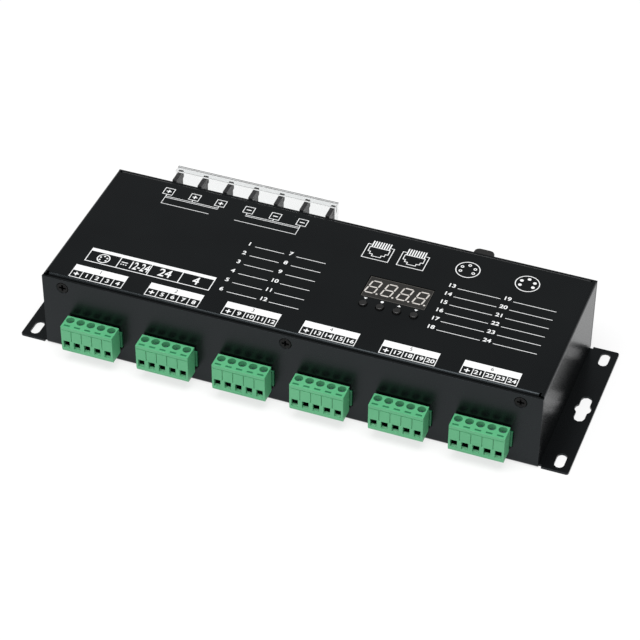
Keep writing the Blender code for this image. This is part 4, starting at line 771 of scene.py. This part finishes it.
cage = combined(
    box(
        (-cage_half, PLUG_FRONT + CAGE_FRONT, HOLE_FOOT + CAGE_PLAY),
        (cage_half, PLUG_FRONT + HOLE_DEPTH - 0.1, MOUTH_TOP - CAGE_PLAY),
    ),
    [
        box(
            (-cage_hole, PLUG_FRONT, HOLE_FOOT + CAGE_WALL),
            (cage_hole, PLUG_FRONT + HOLE_DEPTH - 0.5, MOUTH_TOP - CAGE_WALL),
        )
    ],
)
cages = in_row(softened(cage, 0.05, 1), WAYS, step, black_steel)
# Dark green fills in the pry slots, reaching nearly to the top: painted shade for the slots' dark insides.
slot_shade_fill = box(
    (0.02 - PRY_HALF, PRY_FRONT + 0.02, PLUG_HEIGHT - PRY_DEPTH + 0.1),
    (PRY_HALF - 0.02, PRY_BACK - 0.02, PLUG_HEIGHT - PRY_SHADE_SINK),
)
slot_shade_fills = in_row(softened(slot_shade_fill, 0.03, 1), WAYS, step, dark_green)
for index in range(OUTPUTS):
    at = (plug_x[index], 0, plug_boxes[index][0].z)
    number, body = index + 1, f"plug_{index + 1}"
    node = f"output_plug_{number}"
    set_piece(f"output-plug-{number}", moulding.copy(), mint_green, body, [node], at)
    set_piece(f"output-plug-screws-{number}", clamps.copy(), well_shaded_zinc, body, (), at)
    set_piece(f"output-plug-cages-{number}", cages.copy(), black_steel, body, (), at)
    set_piece(f"output-plug-slot-shade-fills-{number}", slot_shade_fills.copy(), dark_green, body, (), at)

# Barrier strip, its screws and its guard
# The DC input is a black moulded strip outside the back wall with seven ribs. Six combination-head screws with square
# washers stand in its bays, and a clear moulded guard rests on the ribs.
strip_black = Finish("strip_black")
black_moulding = strip_black.made(
    base_color=strip_black.between(strip_black.noise(80), (0.014, 0.014, 0.015), (0.022, 0.022, 0.023)), roughness=0.4
)
strip = softened(node_copy("input_strip"), 0.22)
set_piece("barrier-strip", strip, black_moulding, "case", ["input_strip"])
BAYS = 6
HEAD_RADIUS, HEAD_HEIGHT, THREAD_RADIUS = 3.5, 2.2, 1.75
SLOT_LENGTH, CROSS_LENGTH, DRIVE_WIDTH, DRIVE_DEPTH = 7.6, 4.4, 0.9, 1.1
WASHER, WASHER_THICK = 9.4, 1.2
screw_nodes = [f"input_screw_{i + 1}" for i in range(BAYS)]
centre, low, high = node_middle(screw_nodes[0])
last = node_middle(screw_nodes[-1])[0]
length = high.y - low.y
profile = [
    (0, 0), (2.6, 0), (3.3, -0.35), (HEAD_RADIUS, -0.9), (HEAD_RADIUS, -HEAD_HEIGHT),
    (THREAD_RADIUS, -HEAD_HEIGHT), (THREAD_RADIUS, -length), (0, -length),
]
wide = box((-SLOT_LENGTH / 2, -DRIVE_DEPTH, -DRIVE_WIDTH / 2), (SLOT_LENGTH / 2, 1, DRIVE_WIDTH / 2))
upright = box((-DRIVE_WIDTH / 2, -DRIVE_DEPTH, -CROSS_LENGTH / 2), (DRIVE_WIDTH / 2, 1, CROSS_LENGTH / 2))
driven = softened(combined(lathed(profile, 32, "Y"), [wide, upright]), 0.1, 1)
washer_back, washer_face = -HEAD_HEIGHT - WASHER_THICK, 0.1 - HEAD_HEIGHT
washer = softened(box((-WASHER / 2, washer_back, -WASHER / 2), (WASHER / 2, washer_face, WASHER / 2)), 0.25)
row_middle = ((centre.x + last.x) / 2, high.y, centre.z)
row_step = ((last.x - centre.x) / (BAYS - 1), 0, 0)
screws = in_row(driven, BAYS, row_step, tinned)
set_piece("terminal-screws", screws, tinned, "case", screw_nodes, row_middle)
plate = Finish("washer_zinc")
rubbed = plate.noise(900, 4, 0.7)
washer_zinc = plate.made(
    base_color=plate.between(rubbed, (0.42, 0.41, 0.38), (0.55, 0.54, 0.5)),
    roughness=plate.between(rubbed, 0.34, 0.5),
    metallic=1.0,
)
washers = in_row(washer, BAYS, row_step, washer_zinc)
set_piece("terminal-washers", washers, washer_zinc, "case", (), row_middle)

guard = Finish("guard_clear")
clear = guard.made(
    base_color=(0.89, 0.9, 0.9, 1), roughness=guard.between(guard.noise(300), 0.015, 0.04), transmission=1.0, ior=1.17
)
GUARD = "input_strip_cover"
set_piece("strip-guard", softened(node_copy(GUARD), 0.15), clear, "strip_guard", [GUARD])

# Pale lines along the guard's two upper edges are painted highlights, for the light that these clear edges catch.
edge_highlight = Finish("guard_edge_highlights")
painted_edge_highlight = edge_highlight.made(
    base_color=edge_highlight.between(edge_highlight.noise(400), (0.10, 0.105, 0.105), (0.15, 0.155, 0.155)), roughness=0.45
)
BEAD, BEAD_INSET, LIP = 0.24, 0.02, 0.9
centre, low, high = node_middle(GUARD)
bead_low, bead_high = low.x + BEAD_INSET, high.x - BEAD_INSET
bead_top = high.z - BEAD_INSET
highlight_beads = [
    box((bead_low, y - BEAD, bead_top - BEAD), (bead_high, y, bead_top)) for y in (high.y - BEAD_INSET, high.y - LIP)
]
set_piece("strip-guard-edge-highlights", gathered(highlight_beads), painted_edge_highlight, "strip_guard")

# Display
# A four-digit seven-segment module, potted in dark resin with a flat face just under the cover. Unlit, its segments
# look off-white.
resin = Finish("display_face")
dark_face = resin.made(
    base_color=resin.between(resin.noise(120), (0.013, 0.0125, 0.0115), (0.018, 0.017, 0.0155)), roughness=0.32
)
centre, low, high = node_middle("display_module")
set_piece("display-module", softened(box(low, high), 0.2), dark_face, "case", ["display_module"])
rim_grey = Finish("display_rim")
grey_edge = rim_grey.made(
    base_color=rim_grey.between(rim_grey.noise(300), (0.07, 0.066, 0.06), (0.10, 0.095, 0.087)), roughness=0.4
)
RIM_INSET, RIM_WIDTH = 0.15, 0.22
rim = frame_line(low.x + RIM_INSET, low.y + RIM_INSET, high.x - RIM_INSET, high.y - RIM_INSET, RIM_WIDTH)
set_piece("display-rim", moved(rim, z=-0.02), grey_edge, "case", (), (0, 0, high.z))

unlit = Finish("display_segments")
off_white = unlit.made(
    base_color=unlit.between(unlit.noise(400), (0.50, 0.48, 0.45), (0.60, 0.57, 0.54)), roughness=0.35
)
DIGITS, DIGIT_PITCH, DIGIT, DIGIT_WIDTH, SEGMENT, LEAN = 4, 7.5, 8.5, 4.4, 0.7, 0.17
SEGMENT_GAP, SEGMENT_SUNK, SEGMENT_PROUD = 0.22, 0.05, 0.03
POINT_RADIUS, POINT_ASIDE = 0.5, 0.75
half_h, half_w, tip = DIGIT / 4, DIGIT_WIDTH / 2, SEGMENT / 2


def segment(x, y, half, upright):
    """One bar of a digit with pointed ends."""
    half -= SEGMENT_GAP
    bar = [(-half, 0), (-half + tip, tip), (half - tip, tip), (half, 0), (half - tip, -tip), (-half + tip, -tip)]
    return [(x + v, y + u) if upright else (x + u, y + v) for u, v in bar]


shapes = [segment(0, y, half_w, False) for y in (-2 * half_h, 0, 2 * half_h)]
shapes += [segment(x, y, half_h, True) for x in (-half_w, half_w) for y in (-half_h, half_h)]
bars = [[(x + LEAN * y, y) for x, y in shape] for shape in shapes]
bars.append(circle(half_w + POINT_ASIDE, -2 * half_h, POINT_RADIUS, 12))
digit = gathered([slab(bar, -SEGMENT_SUNK, SEGMENT_PROUD) for bar in bars])
digits = in_row(digit, DIGITS, (DIGIT_PITCH, 0, 0), off_white)
digits_at = (centre.x - 0.3, centre.y + 0.15, high.z)
set_piece("display-digits", digits, off_white, "case", (), digits_at)

# Buttons and their switches
# Four round moulded black caps, domed a little at the rim, stand in holes of the cover on the tact switches below,
# whose housings are the same black.
cap = Finish("button_black")
cap_black = cap.made(
    base_color=cap.between(cap.noise(300), (0.008, 0.008, 0.008), (0.013, 0.013, 0.013)), roughness=0.3
)
ROUND_ACROSS, ROUND_DOWN, DOME = 0.45, 0.35, 0.06
centre, low, high = node_middle("button_1")
height, radius = high.z - low.z, (high.x - low.x) / 2
rim = [
    (radius - ROUND_ACROSS + ROUND_ACROSS * math.sin(turn), height - ROUND_DOWN + ROUND_DOWN * math.cos(turn))
    for turn in (0.0, 0.4, 0.8, 1.2, math.pi / 2)
]
button = shaded(lathed([(0, height - DOME), *rim, (radius, 0), (0, 0)], 32), 50)
for number in range(1, 5):
    node = f"button_{number}"
    centre, low, high = node_middle(node)
    at = (centre.x, centre.y, low.z)
    set_piece(f"button-{number}-cap", button.copy(), cap_black, f"push_button_{number}", [node], at)
coat_nodes(cap_black, "switch_")

# Network jacks
# Two moulded black eight-contact jacks, soldered to the board, look out of the back wall side by side. Their spring
# contacts are gilt wire, bent down from the roof.
jack_plastic = Finish("jack_black")
jack_black = jack_plastic.made(
    base_color=jack_plastic.between(jack_plastic.noise(150), (0.012, 0.012, 0.013), (0.02, 0.02, 0.021)), roughness=0.42
)
gilt = Finish("gilt_contacts")
gold = gilt.made(
    base_color=gilt.between(gilt.noise(1200), (0.75, 0.52, 0.2), (0.86, 0.62, 0.28)), roughness=0.25, metallic=1.0
)
JACK_OPENING, JACK_DEPTH, SPRINGS, SPRING_PITCH, SPRING_WIDTH = 6.8, 14, 8, 1.02, 0.44
JACK_STEPS = ((11.9, 0), (6.0, 0.8), (3.4, 1.6))
centre, low, high = node_middle("network_jack_1")
half, depth, height = (high.x - low.x) / 2, high.y - low.y, high.z - low.z
sill = (height - JACK_OPENING + JACK_STEPS[-1][1]) / 2
roof = sill + JACK_OPENING
cuts = [box((-width / 2, depth - JACK_DEPTH, sill - drop), (width / 2, depth + 1, roof)) for width, drop in JACK_STEPS]
jack = softened(combined(box((-half, 0, 0), (half, depth, height)), cuts), 0.2)
upper = [(depth - 14.2, roof + 0.1), (depth - 13.9, roof + 0.1), (depth - 11.5, roof - 2.05), (depth - 4.2, roof + 0.1)]
under = [(depth - 4.2, roof - 0.2), (depth - 11.5, roof - 2.4), (depth - 14.2, roof - 0.6)]
spring = slab(upper + under, -SPRING_WIDTH / 2, SPRING_WIDTH / 2, "X")
springs = in_row(spring, SPRINGS, (SPRING_PITCH, 0, 0), gold)
for number in (1, 2):
    node = f"network_jack_{number}"
    centre, low, high = node_middle(node)
    at = (centre.x, low.y, low.z)
    set_piece(f"network-jack-{number}", jack.copy(), jack_black, "case", [node], at)
    set_piece(f"network-jack-contacts-{number}", springs.copy(), gold, "case", (), at)

# Data connectors
# A female and a male five-pin connector, moulded black with flanged fronts, each held by two countersunk screws. The
# male one's pins are tinned, and the female one has a latch tab that stands out behind the case.
connector = Finish("connector_black")
connector_black = connector.made(
    base_color=connector.between(connector.noise(150), (0.011, 0.011, 0.012), (0.018, 0.018, 0.019)),
    roughness=connector.between(connector.noise(1500, 2), 0.36, 0.46),
)
for node in ("xlr_out_housing", "xlr_in_housing", "xlr_out_insert"):
    shell = softened(node_copy(node), 0.15)
    set_piece(node.replace("_", "-"), shell, connector_black, "case", [node])
centre, low, high = node_middle("xlr_in_insert")
DISC_RADIUS, DISC_THICK, CONTACT_PINS, PIN_CIRCLE, PIN_SPREAD, PIN_RADIUS = 8.0, 2.7, 5, 4.8, 57, 1.0
disc_at = (centre.x, low.y, centre.z)
disc = softened(lathed([(0, DISC_THICK), (DISC_RADIUS, DISC_THICK), (DISC_RADIUS, 0), (0, 0)], 40, "Y"), 0.15)
set_piece("xlr-in-disc", disc, connector_black, "case", ["xlr_in_insert"], disc_at)
tip_round = [(0, 11.9), (0.45, 11.75), (0.85, 11.2), (PIN_RADIUS, 10.4)]
pin = shaded(lathed([*tip_round, (PIN_RADIUS, 0.4), (0, 0.4)], 20, "Y"))
turns = [math.radians(90 + PIN_SPREAD * (i - (CONTACT_PINS - 1) / 2)) for i in range(CONTACT_PINS)]
contact_pins = gathered([moved(pin, PIN_CIRCLE * math.cos(a), 0, PIN_CIRCLE * math.sin(a)) for a in turns])
set_piece("xlr-in-pins", contact_pins, tinned, "case", (), disc_at)
plate_screw = screw.copy()
plate_screw.transform(Matrix.Rotation(-math.pi / 2, 4, "X"))
for name, pair in (("out", (1, 2)), ("in", (3, 4))):
    nodes = [f"xlr_screw_{i}" for i in pair]
    centres = [node_middle(node)[0] for node in nodes]
    place = (centres[0] + centres[1]) / 2
    at = (place.x, node_middle(nodes[0])[2].y, place.z)
    pair_of_screws = in_row(plate_screw, 2, tuple(centres[1] - centres[0]), black_steel)
    set_piece(f"xlr-{name}-screws", pair_of_screws, black_steel, "case", nodes, at)

tab = Finish("latch_black")
latch_black = tab.made(
    base_color=tab.between(tab.noise(200), (0.009, 0.009, 0.009), (0.014, 0.014, 0.014)), roughness=0.3
)
latch = softened(node_copy("xlr_latch"), 0.3, 2, 50)
set_piece("xlr-latch-tab", latch, latch_black, "latch_tab", ["xlr_latch"])

# Boards, spacers and capacitors
# Inside the case are two glass-fibre boards with a green solder mask and tinned pads, brass spacers, plated screws and
# two capacitors in plastic sleeves. The screws and spacers hold the boards down.
mask = Finish("solder_mask")
spots = mask.node("TexVoronoi", {"Vector": mask.place(), "Scale": 260.0, "Randomness": 0.4})
pads = mask.node("MapRange", {0: spots.outputs["Distance"], 1: 0.16, 2: 0.2, 3: 1.0, 4: 0.0}).outputs[0]
tone = mask.node("Mix", {0: pads, 6: (0.006, 0.07, 0.03, 1), 7: (0.5, 0.5, 0.48, 1)}, data_type="RGBA")
green_mask = mask.made(base_color=tone.outputs[2], roughness=0.35, metallic=pads)
coat_nodes(green_mask, "main_board", "control_board")
coat_nodes(gold, "display_spacer")
coat_nodes(tinned, "board_screw")
sleeve = Finish("capacitor_sleeve")
dark_sleeve = sleeve.made(
    base_color=sleeve.between(sleeve.noise(60), (0.008, 0.01, 0.03), (0.012, 0.014, 0.04)), roughness=0.25
)
coat_nodes(dark_sleeve, "input_capacitor")
